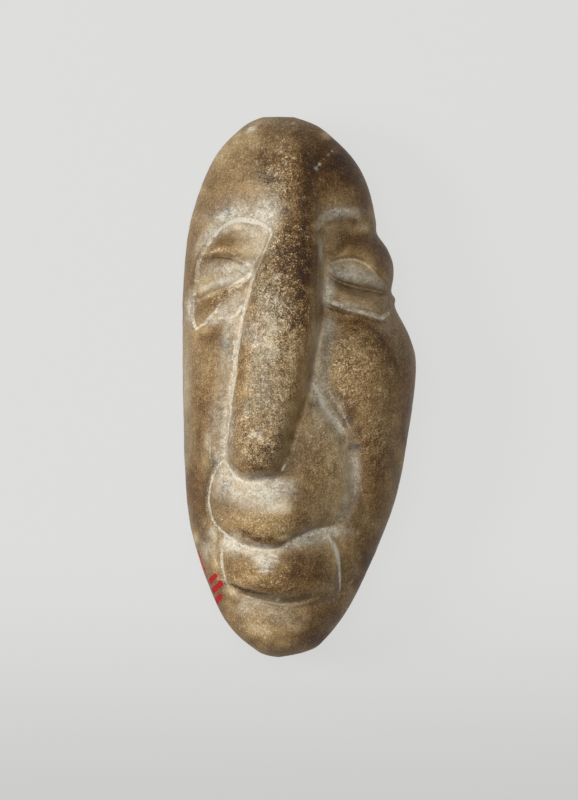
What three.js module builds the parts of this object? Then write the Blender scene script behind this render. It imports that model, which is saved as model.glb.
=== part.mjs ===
// A miniature mask: a long face carved into one side of a river pebble, which lies on its back.
// Sizes are in millimetres. +Y runs to the top of the head, +Z out of the face and +X to the
// viewer's right, so left and right below are the viewer's.

import * as THREE from 'three';
import { mergeVertices } from 'three/addons/utils/BufferGeometryUtils.js';

// The pebble
const faceLength = 72;
const halfLength = faceLength / 2;
const rimHeight = 7;
const domeRise = 10;
const domeEndPower = 2.6;
const domeEndRound = 2.2;
const sectionPower = 2.3;
const stoneColour = 0x8f7650;
const stoneRoughness = 0.55;

// The ground back: a flat that the mask lies on, and the round wall from it up to the rim
const flatShare = 0.62;
const flatHalfLength = 27;
const wallPower = 2.3;
const liftPower = 2.2;
const notchFade = 0.5;

// The mesh: rings from head to chin, and columns round the stone
const rings = 84;
const frontColumns = 36;
const wallColumns = 5;
const flatColumns = 6;
const columns = frontColumns + 2 * wallColumns + flatColumns;
const ringGather = 0.04;
const rimGather = 0.15;
const stepsPerStop = 16;
const mergeDistance = 1e-4;

// Wear that softens every carved edge, and the soft join of the nose with the face
const wearRadius = 0.4;
const wearSamples = 6;
const joinSoftness = 0.25;
const fallOutside = 3;

// The outline seen from the front, head to chin. The right side has the notches of the eye's
// folds, and pebbleRight is the same side without them, just inside.
const leftEdge = smoothLine([
  [-2.8, 36], [-5.1, 35.9], [-8, 34.3], [-11.5, 30.3], [-14.5, 22.3], [-15.5, 13.6], [-15.6, 6.3],
  [-15.4, -8.4], [-14.7, -17.7], [-12.4, -25.7], [-9.5, -31.7], [-5.5, -35.3], [-2.8, -36],
]);
const rightEdge = smoothLine([
  [-2.8, 36], [-0.5, 35.9], [3.1, 34.3], [7.2, 30.3], [9.2, 26.3], [10.1, 22.3], [10.3, 20.4],
  [11.6, 18.5], [12.4, 16.5], [12.5, 14.7], [12.2, 12.8], [12.7, 11.7], [12.8, 10.4], [14.8, 6.3],
  [15.5, 2.3], [14.5, -5.7], [12.5, -15.7], [7.3, -28], [3.3, -33.7], [0.8, -35.3], [-2.8, -36],
]);
const pebbleRight = smoothLine([
  [-2.8, 36], [-0.5, 35.9], [3.1, 34.3], [7.2, 30.3], [9.2, 26.3], [10.3, 19.6], [11.8, 14.3],
  [12.7, 10.4], [14.7, 6.3], [15.5, 2.3], [14.5, -5.7], [12.5, -15.7], [7.3, -28], [3.3, -33.7],
  [0.8, -35.3], [-2.8, -36],
]);

// The line where the plain pebble is highest. It leans to the left towards the mouth.
const crest = smoothLine([
  [-2.8, 36], [-1.3, 35.1], [-0.4, 32.3], [-0.2, 21], [-1.5, 10.3], [-4.3, -3.1], [-4.7, -8.4],
  [-3.5, -21.7], [-2.8, -28.4], [-2.8, -36],
]);

// The nose, one long bar with a blunt tip, and the keel that carries it up the forehead.
// A stop is x, y, half width on the right, half width on the left, rise.
const nose = ridge({
  stops: [
    [-0.3, 28.9, 2.1, 2.4, 0], [-0.5, 21.6, 3.1, 4.1, 1.5], [-1.3, 14.5, 4.1, 5.3, 3.2],
    [-2.7, 5.6, 4.8, 5.7, 4.2], [-3.6, 0.3, 4.7, 5.2, 4.6], [-5.3, -7.9, 3.9, 4.3, 5.3],
  ],
  power: 2.5,
  edge: 0.5,
});
const keel = crease([
  [-1.3, 35.3, 2.1, 5.3, 0], [0, 28.3, 2.9, 8, 1.5], [0.1, 22.9, 2.7, 6.9, 1.2],
  [0, 17.6, 2.5, 4.8, 0.6], [-0.8, 4.9, 2, 2, 0],
]);

// The eyes: a sunk socket with a heavy lid, a narrow eyeball and a bag below it
const leftEye = [
  pad({
    centre: [-9.9, 15.9], rise: -1.9, roundness: 3,
    outline: [
      [-4, 20.8], [-7.5, 22.4], [-11.6, 19.9], [-13.7, 14.7], [-14, 7.9], [-10.1, 9.5],
      [-7.7, 10.5], [-5.9, 13.6],
    ],
  }),
  pad({
    centre: [-9.6, 19.2], rise: 1.2, edge: 0.6, lean: -0.25,
    outline: [[-4.8, 19.6], [-6.7, 20.9], [-9.1, 20.8], [-12.5, 17.3], [-8, 17.1], [-6.1, 16.7]],
  }),
  pad({
    centre: [-10.4, 14.8], rise: 1.25, lean: -0.12,
    outline: [[-6.4, 15.6], [-8, 16.8], [-12.4, 17.1], [-13.7, 11.9], [-11.7, 12.7], [-9.1, 13.7]],
  }),
  pad({
    centre: [-11.5, 10.9], rise: 1.1, edge: 0.6, lean: -0.2,
    outline: [[-6.9, 13.6], [-9.1, 13.3], [-13.5, 11.3], [-13.7, 8], [-9.3, 9.9], [-7.5, 11.9]],
  }),
];
const rightEye = [
  pad({
    centre: [6.9, 16.3], rise: -1.9, roundness: 3,
    outline: [
      [1.9, 19.6], [4.2, 22.4], [7.5, 22.7], [10.7, 19.9], [13.6, 18.3], [14.7, 14.3],
      [13.9, 9.2], [7.3, 9.9], [2.3, 13.6],
    ],
  }),
  pad({
    centre: [8.3, 17.7], rise: 1.9, edge: 0.6,
    outline: [
      [3.7, 16.4], [6.9, 19.6], [9.9, 19.9], [12.5, 18.3], [13.6, 15.1], [12.8, 12.9],
      [8.8, 16.4], [6.1, 17.1],
    ],
  }),
  pad({
    centre: [6.9, 15.1], rise: 1, roundness: 2.5,
    outline: [[3.5, 15.7], [7.2, 17.1], [10.7, 15.1], [12.8, 12.8], [9.6, 12.8], [4.8, 14.4]],
  }),
  pad({
    centre: [8, 11.5], rise: 1.7, lean: -0.2,
    outline: [
      [3.3, 13.6], [9.1, 12.1], [12.5, 12.3], [13.6, 11.1], [12.8, 9.3], [9.9, 9.5], [4, 10.9],
    ],
  }),
];

// The cheeks, the muzzle round the mouth, the two thick lips and the chin
const cheeks = [
  pad({
    centre: [9.1, 0.3], rise: 1.9, roundness: 2.2, edge: 1.2,
    outline: [
      [3.5, 8.3], [11.3, 8.7], [16.7, 5.6], [18.7, -0.4], [17.3, -9.1], [13.6, -20.4],
      [9.6, -19.1], [4.8, -4.1], [2.5, 5.6],
    ],
  }),
  pad({
    centre: [-12.1, 0.3], rise: 1, roundness: 2.2, edge: 1.1,
    outline: [
      [-9.6, 8.7], [-14.7, 7.1], [-17.3, 2.3], [-17.1, -5.7], [-15.5, -13.7], [-10.8, -8.4],
      [-8.5, 4.9],
    ],
  }),
];
const muzzle = pad({
  centre: [-2, -13.7], rise: 1.9, roundness: 3, edge: 1,
  outline: [
    [-11.5, -11.1], [-8.5, -7.1], [0, -0.4], [2.4, -1.2], [5.1, -4.7], [6.9, -9.1],
    [7.3, -13.5], [6.1, -17.2], [-0.5, -20.4], [-4.8, -21.6], [-11.7, -18], [-12.5, -14.4],
  ],
});
const lips = [
  pad({
    centre: [-4, -16.1], rise: 1.6, roundness: 2.2, edge: 0.55, topEdge: 2, lean: -0.12,
    outline: [
      [-11.9, -13.2], [-4.7, -9.1], [0, -10.5], [3.7, -13.7], [4.7, -16.4], [2.9, -18.3],
      [-4.5, -21.3], [-11.1, -18.7],
    ],
  }),
  pad({
    centre: [-2.5, -24.1], rise: 2.2, roundness: 2.4, topEdge: 1.3, lean: -0.16,
    outline: [
      [-10.4, -22], [-8.9, -20.1], [-2, -19.3], [4.5, -20.1], [5.7, -22.8], [4.3, -28],
      [0, -28.9], [-8.5, -27.1],
    ],
  }),
];
const chin = pad({
  centre: [-2.7, -31.3], rise: 0.9, edge: 0.8,
  outline: [[-9.1, -27.9], [0, -29.2], [4.5, -28.4], [3.5, -32.4], [-2.8, -35.9], [-8.3, -32.1]],
});

// The cut lines that part the forms. A stop is x, y, half width on the left of the way the
// line runs, half width on the right of it, rise.
const cuts = [
  // beside the nose, left and right, and under its tip
  crease([
    [-4.2, 20.8, 0.5, 0.6, 0], [-5.6, 16.9, 0.6, 0.8, -0.5], [-7.7, 9.6, 0.6, 1, -0.6],
    [-9.1, 0.3, 0.6, 1.2, -0.6], [-10, -8.4, 0.7, 1.3, -0.5], [-9.5, -10.8, 0.8, 0.8, 0],
  ]),
  crease([
    [2.7, 20.3, 1.2, 1.2, 0], [3.1, 11.6, 1.3, 1.1, -0.55], [1.6, 2.3, 2.1, 1.2, -0.85],
    [-0.7, -7.1, 1.1, 0.8, -0.45], [-1.9, -10.5, 0.8, 0.8, 0],
  ]),
  crease([
    [-9.1, -11.1, 0.6, 0.7, 0], [-5.9, -12.5, 0.6, 0.8, -0.35], [-1.9, -11.1, 0.6, 0.7, 0],
  ]),
  // the long fold from the right of the nose to the corner of the mouth
  crease([
    [1.6, -0.1, 0.8, 0.8, 0], [5.7, -5.7, 1.3, 1.7, -0.7], [7.2, -13.1, 1.2, 1.6, -0.6],
    [5.1, -18.3, 0.9, 1.1, -0.3],
  ]),
  // down the left of both lips
  crease([
    [-10.1, -9.2, 0.7, 0.7, 0], [-12.3, -14.5, 0.7, 0.8, -0.5], [-10.5, -19.1, 0.7, 0.8, -0.6],
    [-10.3, -24.7, 0.7, 0.7, -0.5], [-9.3, -27.3, 0.6, 0.6, 0],
  ]),
  // between the lips, then down the right of the lower lip, and under it
  crease([
    [-10.4, -18.8, 0.6, 0.6, -0.3], [-6.7, -21.1, 0.6, 0.6, -0.5], [-2.7, -21.3, 0.6, 0.6, -0.5],
    [2.4, -18.8, 0.7, 0.6, -0.5], [5.1, -18.3, 0.7, 0.6, -0.4],
  ]),
  crease([
    [4, -18.8, 0.8, 0.8, -0.2], [5.7, -23.3, 0.7, 0.8, -0.5], [4.8, -28.7, 0.6, 0.6, 0],
  ]),
  crease([
    [-9.6, -26.5, 0.6, 0.6, 0], [-5.1, -28.5, 0.6, 0.6, -0.4], [4.3, -28, 0.6, 0.6, 0],
  ]),
  // over each eye, the brow
  crease([
    [-13.9, 12.9, 0.6, 0.6, 0], [-12.8, 18, 0.8, 0.6, -0.45], [-9.7, 21.6, 1.2, 0.6, -0.6],
    [-5.6, 21.9, 1.1, 0.6, -0.5], [-4.3, 20.7, 0.8, 0.6, -0.2],
  ]),
  crease([
    [2.7, 19.9, 1.1, 0.7, -0.2], [5.5, 22.9, 1.3, 0.7, -0.6], [9.3, 21.2, 0.9, 0.7, -0.5],
    [13.3, 18.9, 0.7, 0.7, -0.2],
  ]),
  // between eyeball and bag
  crease([
    [-6.4, 15.3, 0.6, 0.6, -0.1], [-11.2, 12.4, 0.6, 0.6, -0.45], [-13.7, 11.1, 0.6, 0.6, -0.2],
  ]),
  crease([
    [3.2, 15.9, 0.6, 0.6, -0.1], [6.7, 13.3, 0.6, 0.6, -0.5], [13.9, 12.7, 0.6, 0.6, -0.2],
  ]),
];
const forms = [keel, ...leftEye, ...rightEye, ...cheeks, muzzle, ...lips, chin];

function clamp01(value) {
  return Math.min(Math.max(value, 0), 1);
}

function smoothStep(value) {
  const t = clamp01(value);
  return t * t * (3 - 2 * t);
}

// A smooth curve through stops of any number of values, as closely spaced points.
function smoothLine(stops, closed = false) {
  const count = stops.length;
  const spans = closed ? count : count - 1;
  const stopAt = (index) => {
    const last = count - 1;
    return stops[closed ? (index + count) % count : THREE.MathUtils.clamp(index, 0, last)];
  };
  const points = [];
  for (let span = 0; span < spans; span += 1) {
    const [before, start, end, after] = [-1, 0, 1, 2].map((shift) => stopAt(span + shift));
    for (let step = 0; step < stepsPerStop; step += 1) {
      const t = step / stepsPerStop;
      points.push(start.map((value, axis) => {
        const bend = 2 * before[axis] - 5 * value + 4 * end[axis] - after[axis];
        const twist = 3 * value - before[axis] - 3 * end[axis] + after[axis];
        return value + 0.5 * t * ((end[axis] - before[axis]) + t * (bend + t * twist));
      }));
    }
  }
  if (!closed) points.push(stops[count - 1]);
  return points;
}

// Where an outline that runs from head to chin lies at the height y.
function xAt(outline, y) {
  const next = outline.findIndex((point) => point[1] <= y);
  if (next <= 0) return outline[Math.max(next, 0)][0];
  const [x0, y0] = outline[next - 1];
  const [x1, y1] = outline[next];
  return x0 + ((x1 - x0) * (y0 - y)) / (y0 - y1);
}

// A pad is a form inside a closed outline: it has its full rise at the centre and none at the
// outline. Its top side can run out more softly than the rest, and lean adds rise upwards.
function pad({ centre, outline, rise, roundness = 2, edge = 0.5, topEdge = edge, lean = 0 }) {
  const reaches = smoothLine(outline, true).map(([x, y]) => ({
    angle: Math.atan2(y - centre[1], x - centre[0]),
    reach: Math.hypot(x - centre[0], y - centre[1]),
  }));
  reaches.sort((a, b) => a.angle - b.angle);
  const reachAt = (angle) => {
    const found = reaches.findIndex((entry) => entry.angle >= angle);
    const next = found === -1 ? 0 : found;
    const after = reaches[next];
    const before = reaches[(next + reaches.length - 1) % reaches.length];
    const turn = THREE.MathUtils.euclideanModulo(after.angle - before.angle, 2 * Math.PI);
    const part = THREE.MathUtils.euclideanModulo(angle - before.angle, 2 * Math.PI);
    return before.reach + (after.reach - before.reach) * clamp01(part / turn);
  };
  return (x, y) => {
    const dx = x - centre[0];
    const dy = y - centre[1];
    const angle = Math.atan2(dy, dx);
    const share = Math.hypot(dx, dy) / reachAt(angle);
    if (share >= 1) return 0;
    const upward = smoothStep(0.5 + 0.5 * Math.sin(angle));
    return (rise + lean * dy) * (1 - share ** roundness) ** (edge + (topEdge - edge) * upward);
  };
}

// The point of a line nearest to (x, y): how far away it is, as a share of the half width on
// that side and in millimetres past it, and the rise there.
function nearestOn(points, x, y) {
  let best = { distance: Infinity };
  for (let index = 1; index < points.length; index += 1) {
    const start = points[index - 1];
    const end = points[index];
    const along = [end[0] - start[0], end[1] - start[1]];
    const offset = [x - start[0], y - start[1]];
    const lengthSquared = along[0] ** 2 + along[1] ** 2;
    const t = clamp01((offset[0] * along[0] + offset[1] * along[1]) / lengthSquared);
    const distance = Math.hypot(offset[0] - t * along[0], offset[1] - t * along[1]);
    if (distance < best.distance) {
      const onLeft = along[0] * offset[1] - along[1] * offset[0] > 0;
      const side = onLeft ? 2 : 3;
      const halfWidth = start[side] + t * (end[side] - start[side]);
      const rise = start[4] + t * (end[4] - start[4]);
      best = { distance, share: distance / halfWidth, past: distance - halfWidth, rise };
    }
  }
  return best;
}

// A ridge has a full, rounded section, and goes on falling outside its foot, so that it can be
// joined to the face by taking the higher of the two.
function ridge({ stops, power, edge }) {
  const points = smoothLine(stops);
  return (x, y) => {
    const near = nearestOn(points, x, y);
    if (near.share >= 1) return -fallOutside * near.past;
    return near.rise * (1 - near.share ** power) ** edge;
  };
}

// A crease, or with a positive rise a swelling, has a bell-shaped section.
function crease(stops) {
  const points = smoothLine(stops);
  return (x, y) => {
    const near = nearestOn(points, x, y);
    return near.share >= 1 ? 0 : near.rise * (1 - smoothStep(near.share));
  };
}

function softHigher(a, b) {
  const top = Math.max(a, b);
  const sum = Math.exp((a - top) / joinSoftness) + Math.exp((b - top) / joinSoftness);
  return top + joinSoftness * Math.log(sum);
}

// The fresh carving over the plain pebble at (x, y), before any wear.
function freshCarving(x, y) {
  const face = forms.reduce((sum, form) => sum + form(x, y), 0);
  const depth = Math.min(...cuts.map((cut) => cut(x, y)));
  return softHigher(face, nose(x, y)) + depth;
}

// The carving after wear: the mean of the fresh carving over a small disc.
function carving(x, y) {
  let sum = freshCarving(x, y);
  for (let sample = 0; sample < wearSamples; sample += 1) {
    const angle = (2 * Math.PI * sample) / wearSamples;
    sum += freshCarving(x + wearRadius * Math.cos(angle), y + wearRadius * Math.sin(angle));
  }
  return sum / (wearSamples + 1);
}

// Draws the steps of a row together near its start, where the stone curves most. t is 0 to 1.
function gathered(t, tightness) {
  return (t * t * (1 + tightness)) / (t + tightness);
}

// Spreads a row of steps from -1 to 1, gathered at both ends. part runs from 0 to 1.
function spread(part, tightness) {
  const s = 2 * part - 1;
  return Math.sign(s) * (1 - gathered(1 - Math.abs(s), tightness));
}

// A point on the face: across runs from -1 at the left rim to 1 at the right rim.
function facePoint(across, y) {
  const middle = xAt(crest, y);
  const share = Math.abs(across);
  const fade = smoothStep((share - notchFade) / (1 - notchFade));
  const smoothSide = xAt(pebbleRight, y);
  const side = across < 0 ? xAt(leftEdge, y) : smoothSide + fade * (xAt(rightEdge, y) - smoothSide);
  const x = middle + share * (side - middle);
  const rise = domeRise * (1 - Math.abs(y / halfLength) ** domeEndPower) ** (1 / domeEndRound);
  const dome = rise * (1 - share ** sectionPower) ** (1 / sectionPower);
  return [x, y, rimHeight + dome + carving(x, y)];
}

// A point on the back: side is -1 or 1, and turn runs from 0 at the rim to 1 at the flat.
function wallPoint(side, turn, y) {
  const left = xAt(leftEdge, y);
  const rim = facePoint(side, y);
  const middle = (left + xAt(rightEdge, y)) / 2;
  const fade = smoothStep(turn / notchFade);
  const edge = side < 0 ? left : rim[0] + fade * (xAt(pebbleRight, y) - rim[0]);
  const overFlat = Math.min(Math.abs(y) / flatHalfLength, 1);
  const beyondFlat = Math.max(Math.abs(y) - flatHalfLength, 0) / (halfLength - flatHalfLength);
  const flat = flatShare * Math.sqrt(1 - overFlat ** 4);
  const drop = rim[2] * (1 - beyondFlat ** liftPower) ** (1 / liftPower);
  const angle = (turn * Math.PI) / 2;
  const out = turn === 1 ? 0 : Math.cos(angle) ** (2 / wallPower);
  const down = turn === 1 ? 1 : Math.sin(angle) ** (2 / wallPower);
  return [middle + (edge - middle) * (flat + (1 - flat) * out), y, rim[2] - drop * down];
}

function backPoint(column, y) {
  const fromRight = column / wallColumns;
  const fromLeft = (columns - frontColumns - column) / wallColumns;
  if (fromRight <= 1) return wallPoint(1, fromRight, y);
  if (fromLeft <= 1) return wallPoint(-1, fromLeft, y);
  const right = wallPoint(1, 1, y);
  const left = wallPoint(-1, 1, y);
  const share = (column - wallColumns) / flatColumns;
  return right.map((value, axis) => value + share * (left[axis] - value));
}

// Each quad between two rings is split along its shorter diagonal, so that the edges of the
// mesh run along the cuts. Only the first and last rings, round the ends, have no quads.
function splitAlongCuts(sphere) {
  const { index, attributes } = sphere;
  const cornerAt = (place) => new THREE.Vector3().fromBufferAttribute(attributes.position, index.getX(place));
  const quads = (rings - 2) * columns;
  for (let quad = 0; quad < quads; quad += 1) {
    const start = 3 * columns + 6 * quad;
    const [a, b, d, c] = [0, 1, 2, 4].map((shift) => index.getX(start + shift));
    const acrossFirst = cornerAt(start).distanceTo(cornerAt(start + 4));
    const acrossSecond = cornerAt(start + 1).distanceTo(cornerAt(start + 2));
    if (acrossFirst < acrossSecond) {
      [a, b, c, a, c, d].forEach((corner, shift) => index.setX(start + shift, corner));
    }
  }
}

function maskGeometry() {
  const sphere = new THREE.SphereGeometry(1, columns, rings);
  const { position, uv } = sphere.attributes;
  for (let index = 0; index < position.count; index += 1) {
    const y = halfLength * spread(uv.getY(index), ringGather);
    const column = Math.round(uv.getX(index) * columns);
    const onFace = column <= frontColumns;
    const point = onFace
      ? facePoint(spread(column / frontColumns, rimGather), y)
      : backPoint(column - frontColumns, y);
    position.setXYZ(index, ...point);
  }
  splitAlongCuts(sphere);
  sphere.deleteAttribute('normal');
  sphere.deleteAttribute('uv');
  const geometry = mergeVertices(sphere, mergeDistance);
  geometry.computeBoundingBox();
  const { min, max } = geometry.boundingBox;
  geometry.translate(-(min.x + max.x) / 2, -(min.y + max.y) / 2, -min.z);
  geometry.computeVertexNormals();
  return geometry;
}

const stone = new THREE.MeshStandardMaterial({
  color: stoneColour,
  roughness: stoneRoughness,
  metalness: 0,
});
const mask = new THREE.Mesh(maskGeometry(), stone);
mask.name = 'stone_mask';

const group = new THREE.Group();
group.add(mask);

export default group;
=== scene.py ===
"""A miniature mask: a long face carved into one side of a river pebble, lying on its back.

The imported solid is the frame. The fine stone is carved again here from the same forms, with
the cuts, wear and grain that the solid leaves out, and takes the solid's place.
Plan positions are in millimetres from the middle of the mask: x to the viewer's right, y to
the top of the head, z out of the face. Left and right are the viewer's.
"""

import itertools
import math

import bpy
import numpy as np
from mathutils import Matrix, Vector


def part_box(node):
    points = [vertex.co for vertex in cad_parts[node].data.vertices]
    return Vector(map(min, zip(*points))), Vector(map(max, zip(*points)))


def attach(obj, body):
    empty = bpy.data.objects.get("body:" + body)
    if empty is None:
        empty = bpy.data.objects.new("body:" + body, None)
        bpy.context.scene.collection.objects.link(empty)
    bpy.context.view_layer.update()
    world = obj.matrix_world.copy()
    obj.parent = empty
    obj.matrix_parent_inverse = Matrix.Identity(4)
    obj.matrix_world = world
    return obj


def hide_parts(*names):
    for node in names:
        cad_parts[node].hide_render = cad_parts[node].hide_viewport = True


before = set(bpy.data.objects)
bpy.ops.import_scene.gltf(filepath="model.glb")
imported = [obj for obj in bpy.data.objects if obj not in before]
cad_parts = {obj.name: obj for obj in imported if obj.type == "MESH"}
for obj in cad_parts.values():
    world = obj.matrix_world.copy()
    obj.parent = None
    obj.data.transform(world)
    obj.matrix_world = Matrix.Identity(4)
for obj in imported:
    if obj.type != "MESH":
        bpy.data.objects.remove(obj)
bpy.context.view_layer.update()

bl_info = {
    "name": "Stone Mask",
    "version": (1, 0, 0),
    "blender": (4, 5, 0),
    "location": "3D View > Sidebar > Stone Mask",
    "description": "Carves a miniature stone mask and sets it in a plain studio",
    "category": "Object",
}

NODE_LOW, NODE_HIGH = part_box("stone_mask")
MM = 0.001

# The pebble, in millimetres
HALF_LENGTH = (NODE_HIGH[1] - NODE_LOW[1]) / MM / 2
RIM_HEIGHT = 7.0
DOME_RISE = 10.0
DOME_END_POWER = 2.6
DOME_END_ROUND = 2.2
SECTION_POWER = 2.3
FLAT_SHARE = 0.62
FLAT_LEAST = 0.03
FLAT_HALF_LENGTH = 27.0
FLAT_END_POWER = 4
WALL_POWER = 2.3
LIFT_POWER = 2.2
NOTCH_FADE = 0.5
RING_GATHER = 0.04
RIM_GATHER = 0.15
JOIN_SOFTNESS = 0.25
FALL_OUTSIDE = 3.0
STEPS_PER_STOP = 14
NOSE_ROUND = 2.5
SPOT_EDGE = 1.3

# Heights over the ground, in millimetres, between which the parts of the finish come in
OFF_FLAT = (0, 1)
WARM_HEIGHT = (1, 4)
FACE_HEIGHT = (4, 7)
TONE_HEIGHT = (4.5, 9.5)

# Residue in hollows and in wide valleys: how wide and how deep they are where it is fullest, in
# millimetres, and how strong it is there
HOLLOW_WIDTH = 0.4
HOLLOW_DEPTH = 0.3
HOLLOW_RESIDUE = 0.45
VALLEY_WIDTH = 1.2
VALLEY_DEPTH = 0.8
VALLEY_RESIDUE = 0.5

# How much of that residue is gone away from the key light, between which x, and in dark creases.
# This is painted light: the pale residue is kept on the lit side and out of the painted shade.
UNLIT_LOSS = 0.72
UNLIT_SIDE = (-3, 1)
SHADE_LOSS = 1.6

# How coarse the grain is on the top of the nose and on its flank, and how warm the flank is
NOSE_TOP_GRAIN = 0.9
EXTRA_NOSE_GRAIN = 0.3
FLANK_GRAIN = 0.75
FLANK_WARMTH = 0.9

# The lumps of the worn skin: size and height, both in millimetres, and the seed. On smooth stone
# and on the nose's flank the pits are only these shares as deep, and a chip's edge is where the
# noise is between these values.
WAVES = ((3.1, 0.05, 1), (1.1, 0.025, 2))
PITS = (0.45, 0.03, 3)
SMOOTH_PITS = 0.3
FLANK_PITS = 0.2
CHIPS = (0.5, -0.17, 4)
CHIP_EDGE = (0.05, 0.35)

# The patterns of the stone: lumps a millimetre, detail, roughness, distortion
PATTERNS = {
    "broad": (0.12, 3, 0.55, 0.4),
    "middle": (0.5, 4, 0.6, 0.3),
    "coarse": (1.3, 4, 0.85, 0.3),
    "fine": (4.6, 2, 0.75, 0),
    "dust": (5.5, 1, 0.5, 0),
    "clumps": (1, 5, 0.65, 0.5),
    "wisps": (0.9, 5, 0.6, 0.8),
}

# Streaks along the face: the scale of their place in each direction, and then their pattern
STREAK_SCALE = (3.2, 0.35, 3.2)
STREAK = (1, 3, 0.6, 0)

# How much of each pattern goes into the tone of the stone
BROAD_TONE = 0.35
MIDDLE_TONE = 0.34
STREAK_TONE = 0.22
WISP_TONE = 0.5
SMOOTH_WISPS = 0.25
SMOOTH_DUST = 0.5
GRAINY_DUST = 0.5
GRAIN_TONE = 0.62
GLINT_TONE = 1.2
CRUST_AND_SHADE_TONE = -0.17
SHADE_TONE = -0.3

# Grains show from the least value of the grit up, lighten the stone from the middle one up, and
# glint from the last one up
LEAST_GRAIN = 0.45
MIDDLE_GRAIN = 0.51
GLINT = 0.58

# Where the stone's colours stand on the scale of tone, from the darkest to the lightest
RAMP_PLACES = (0.12, 0.34, 0.52, 0.7, 0.95)

# Masks from a pattern: its low and high, and the strengths that those become
SPARKS = (0.45, 0.62, 0, 0.5)
CRUST_AND_SHADE_SPECKS = (0.56, 0.4, 0, 0.75)
STREAKED_HOLLOWS = (0.36, 0.62, 0.4, 0.68)
CLUMPED_HOLLOWS = (0.36, 0.6, 0.6, 1.2)
LINE_SECTION = (0.5, 1, 0, 1)
CLUMPED_LINES = (0.36, 0.6, 0.75, 1.15)
GRAINY_POWDER_AND_HIGHLIGHT = (0.3, 0.7, 0.62, 1.3)
WISPY_POWDER_AND_HIGHLIGHT = (0.36, 0.62, 0.66, 1.28)
THIN_RESIDUE_AND_HIGHLIGHT = (0.3, 0.6, 0.78, 0.96)
THIN_PAINT = (0.3, 0.42, 0.7, 0.97)
POLISH = (0.3, 0.7)

# Ragged edges: how much of the pattern breaks them up, and where they begin and end
RAGGED_CRUST_AND_SHADE = (1.8, 0.25, 0.95)
RAGGED_VEIL_AND_REFLECTION = (0.7, 0.1, 0.9)
RAGGED_LINES = (1.8, 0, 1)
RAGGED_HOLLOWS = (0.9, 0.05, 1.05)

# How strongly the warm tint and the grey one show. The grey one is a dull veil and, along the
# rims, a painted reflection
WARM_TINT = 0.55
VEIL_AND_REFLECTION_TINT = 0.9

# How soft the edge of a painted stroke is, and how far it wavers, in millimetres
PAINT_EDGE = 0.04
PAINT_WOBBLE = 0.8

# How much rougher than the polish the skin is: in patches, under residue or paint, below the
# rim, and where the grain is coarse
ROUGHER_PATCHES = 0.16
ROUGHER_COVER = 0.3
ROUGHER_RIM = 0.4
ROUGHER_GRAIN = 0.08

# The finest bumps: their strength, their height in millimetres, and what is added to the grit
BUMP_STRENGTH = 0.6
BUMP_HEIGHT = 0.12
STREAK_BUMP = 0.25
CRUST_AND_SHADE_BUMP = -0.15
PAINT_BUMP = 0.12

# The studio, in metres: where the glow of the floor rises, from which to which share of its
# strength, and the place, the size and the colour of each light
FLOOR_GLOW_ENDS = (-0.064, -0.02)
FLOOR_GLOW_SHARES = (0.83, 1.04)
FLOOR_ROUGHNESS = 0.9
FLOOR_SHINE = 0.1
FLOOR_GLOW_COLOUR = (1.0, 1.0, 0.99, 1.0)
FILL_COLOUR = (1.0, 0.99, 0.97, 1.0)
LIGHT_TARGET = (0, 0, 0.01)
KEY_LIGHT = ((-0.58, 0.06, 0.46), 0.3, (1, 0.985, 0.96))
FRONT_LIGHT = ((-0.1, 0.12, 0.9), 0.5, (1, 0.99, 0.97))
SENSOR_WIDTH = 36

# The plan grid that the carving is worked out on
GRID_STEP = 0.1
GRID_HALF_WIDTH = 17.0
GRID_HALF_LENGTH = 37.0

# Outlines from the head to the chin. The right edge follows the bulge of the eye and the small
# notches round it, which the pebble's own right side leaves out.
LEFT_EDGE = (
    (-2.8, 36), (-5.1, 35.9), (-8, 34.3), (-11.5, 30.3), (-14.5, 22.3), (-15.5, 13.6),
    (-15.6, 6.3), (-15.4, -8.4), (-14.7, -17.7), (-12.4, -25.7), (-9.5, -31.7), (-5.5, -35.3),
    (-2.8, -36),
)
RIGHT_HEAD = ((-2.8, 36), (-0.5, 35.9), (3.1, 34.3), (7.2, 30.3), (9.2, 26.3))
RIGHT_JAW = (
    (15.5, 2.3), (14.5, -5.7), (12.5, -15.7), (7.3, -28), (3.3, -33.7), (0.8, -35.3), (-2.8, -36),
)
RIGHT_EDGE = (
    *RIGHT_HEAD, (10.1, 22.3), (10.3, 20.4), (11.6, 18.5), (12.4, 16.5), (12.5, 14.7),
    (12.2, 12.8), (12.7, 11.7), (12.8, 10.4), (14.8, 6.3), *RIGHT_JAW,
)
PEBBLE_RIGHT = (*RIGHT_HEAD, (10.3, 19.6), (11.8, 14.3), (12.7, 10.4), (14.7, 6.3), *RIGHT_JAW)
CREST = (
    (-2.8, 36), (-1.3, 35.1), (-0.4, 32.3), (-0.2, 21), (-1.5, 10.3), (-4.3, -3.1), (-4.7, -8.4),
    (-3.5, -21.7), (-2.8, -28.4), (-2.8, -36),
)

# Where the nose's left flank meets the cheek, from the brow down
NOSE_FOOT = (
    (-3.9, 21), (-4.4, 19.2), (-5.2, 17.2), (-6.6, 14.3), (-7.3, 10.3), (-8.05, 5.9), (-8.5, 2.6),
    (-9, -0.4), (-9.3, -3.2), (-9.6, -7.3), (-9.2, -9.6), (-8.1, -11.4),
)

# Where the finishes of the nose begin and end, at heights y on the face or at shares of the
# nose's half width, and the size and the seed of the noise that makes their edges waver
NOSE_TOP = (24, 20)
NOSE_EDGE = (1.06, 0.94)
BESIDE_EDGE = (0.96, 1.04)
BESIDE_TOP = (20, 17)
FLANK_TOP = (14, 10)
FLANK_END = (-9, -7)
FLANK_SPREAD = (15, 6)
FLANK_WIDTH = 1.7
FLANK_EDGE = (0, 0.5)
FLANK_WOBBLE = 0.35
NOSE_SIDE = (0.5, 0.7)
SIDE_WOBBLE = 0.12
WOBBLE = (1.3, 7)

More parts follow.
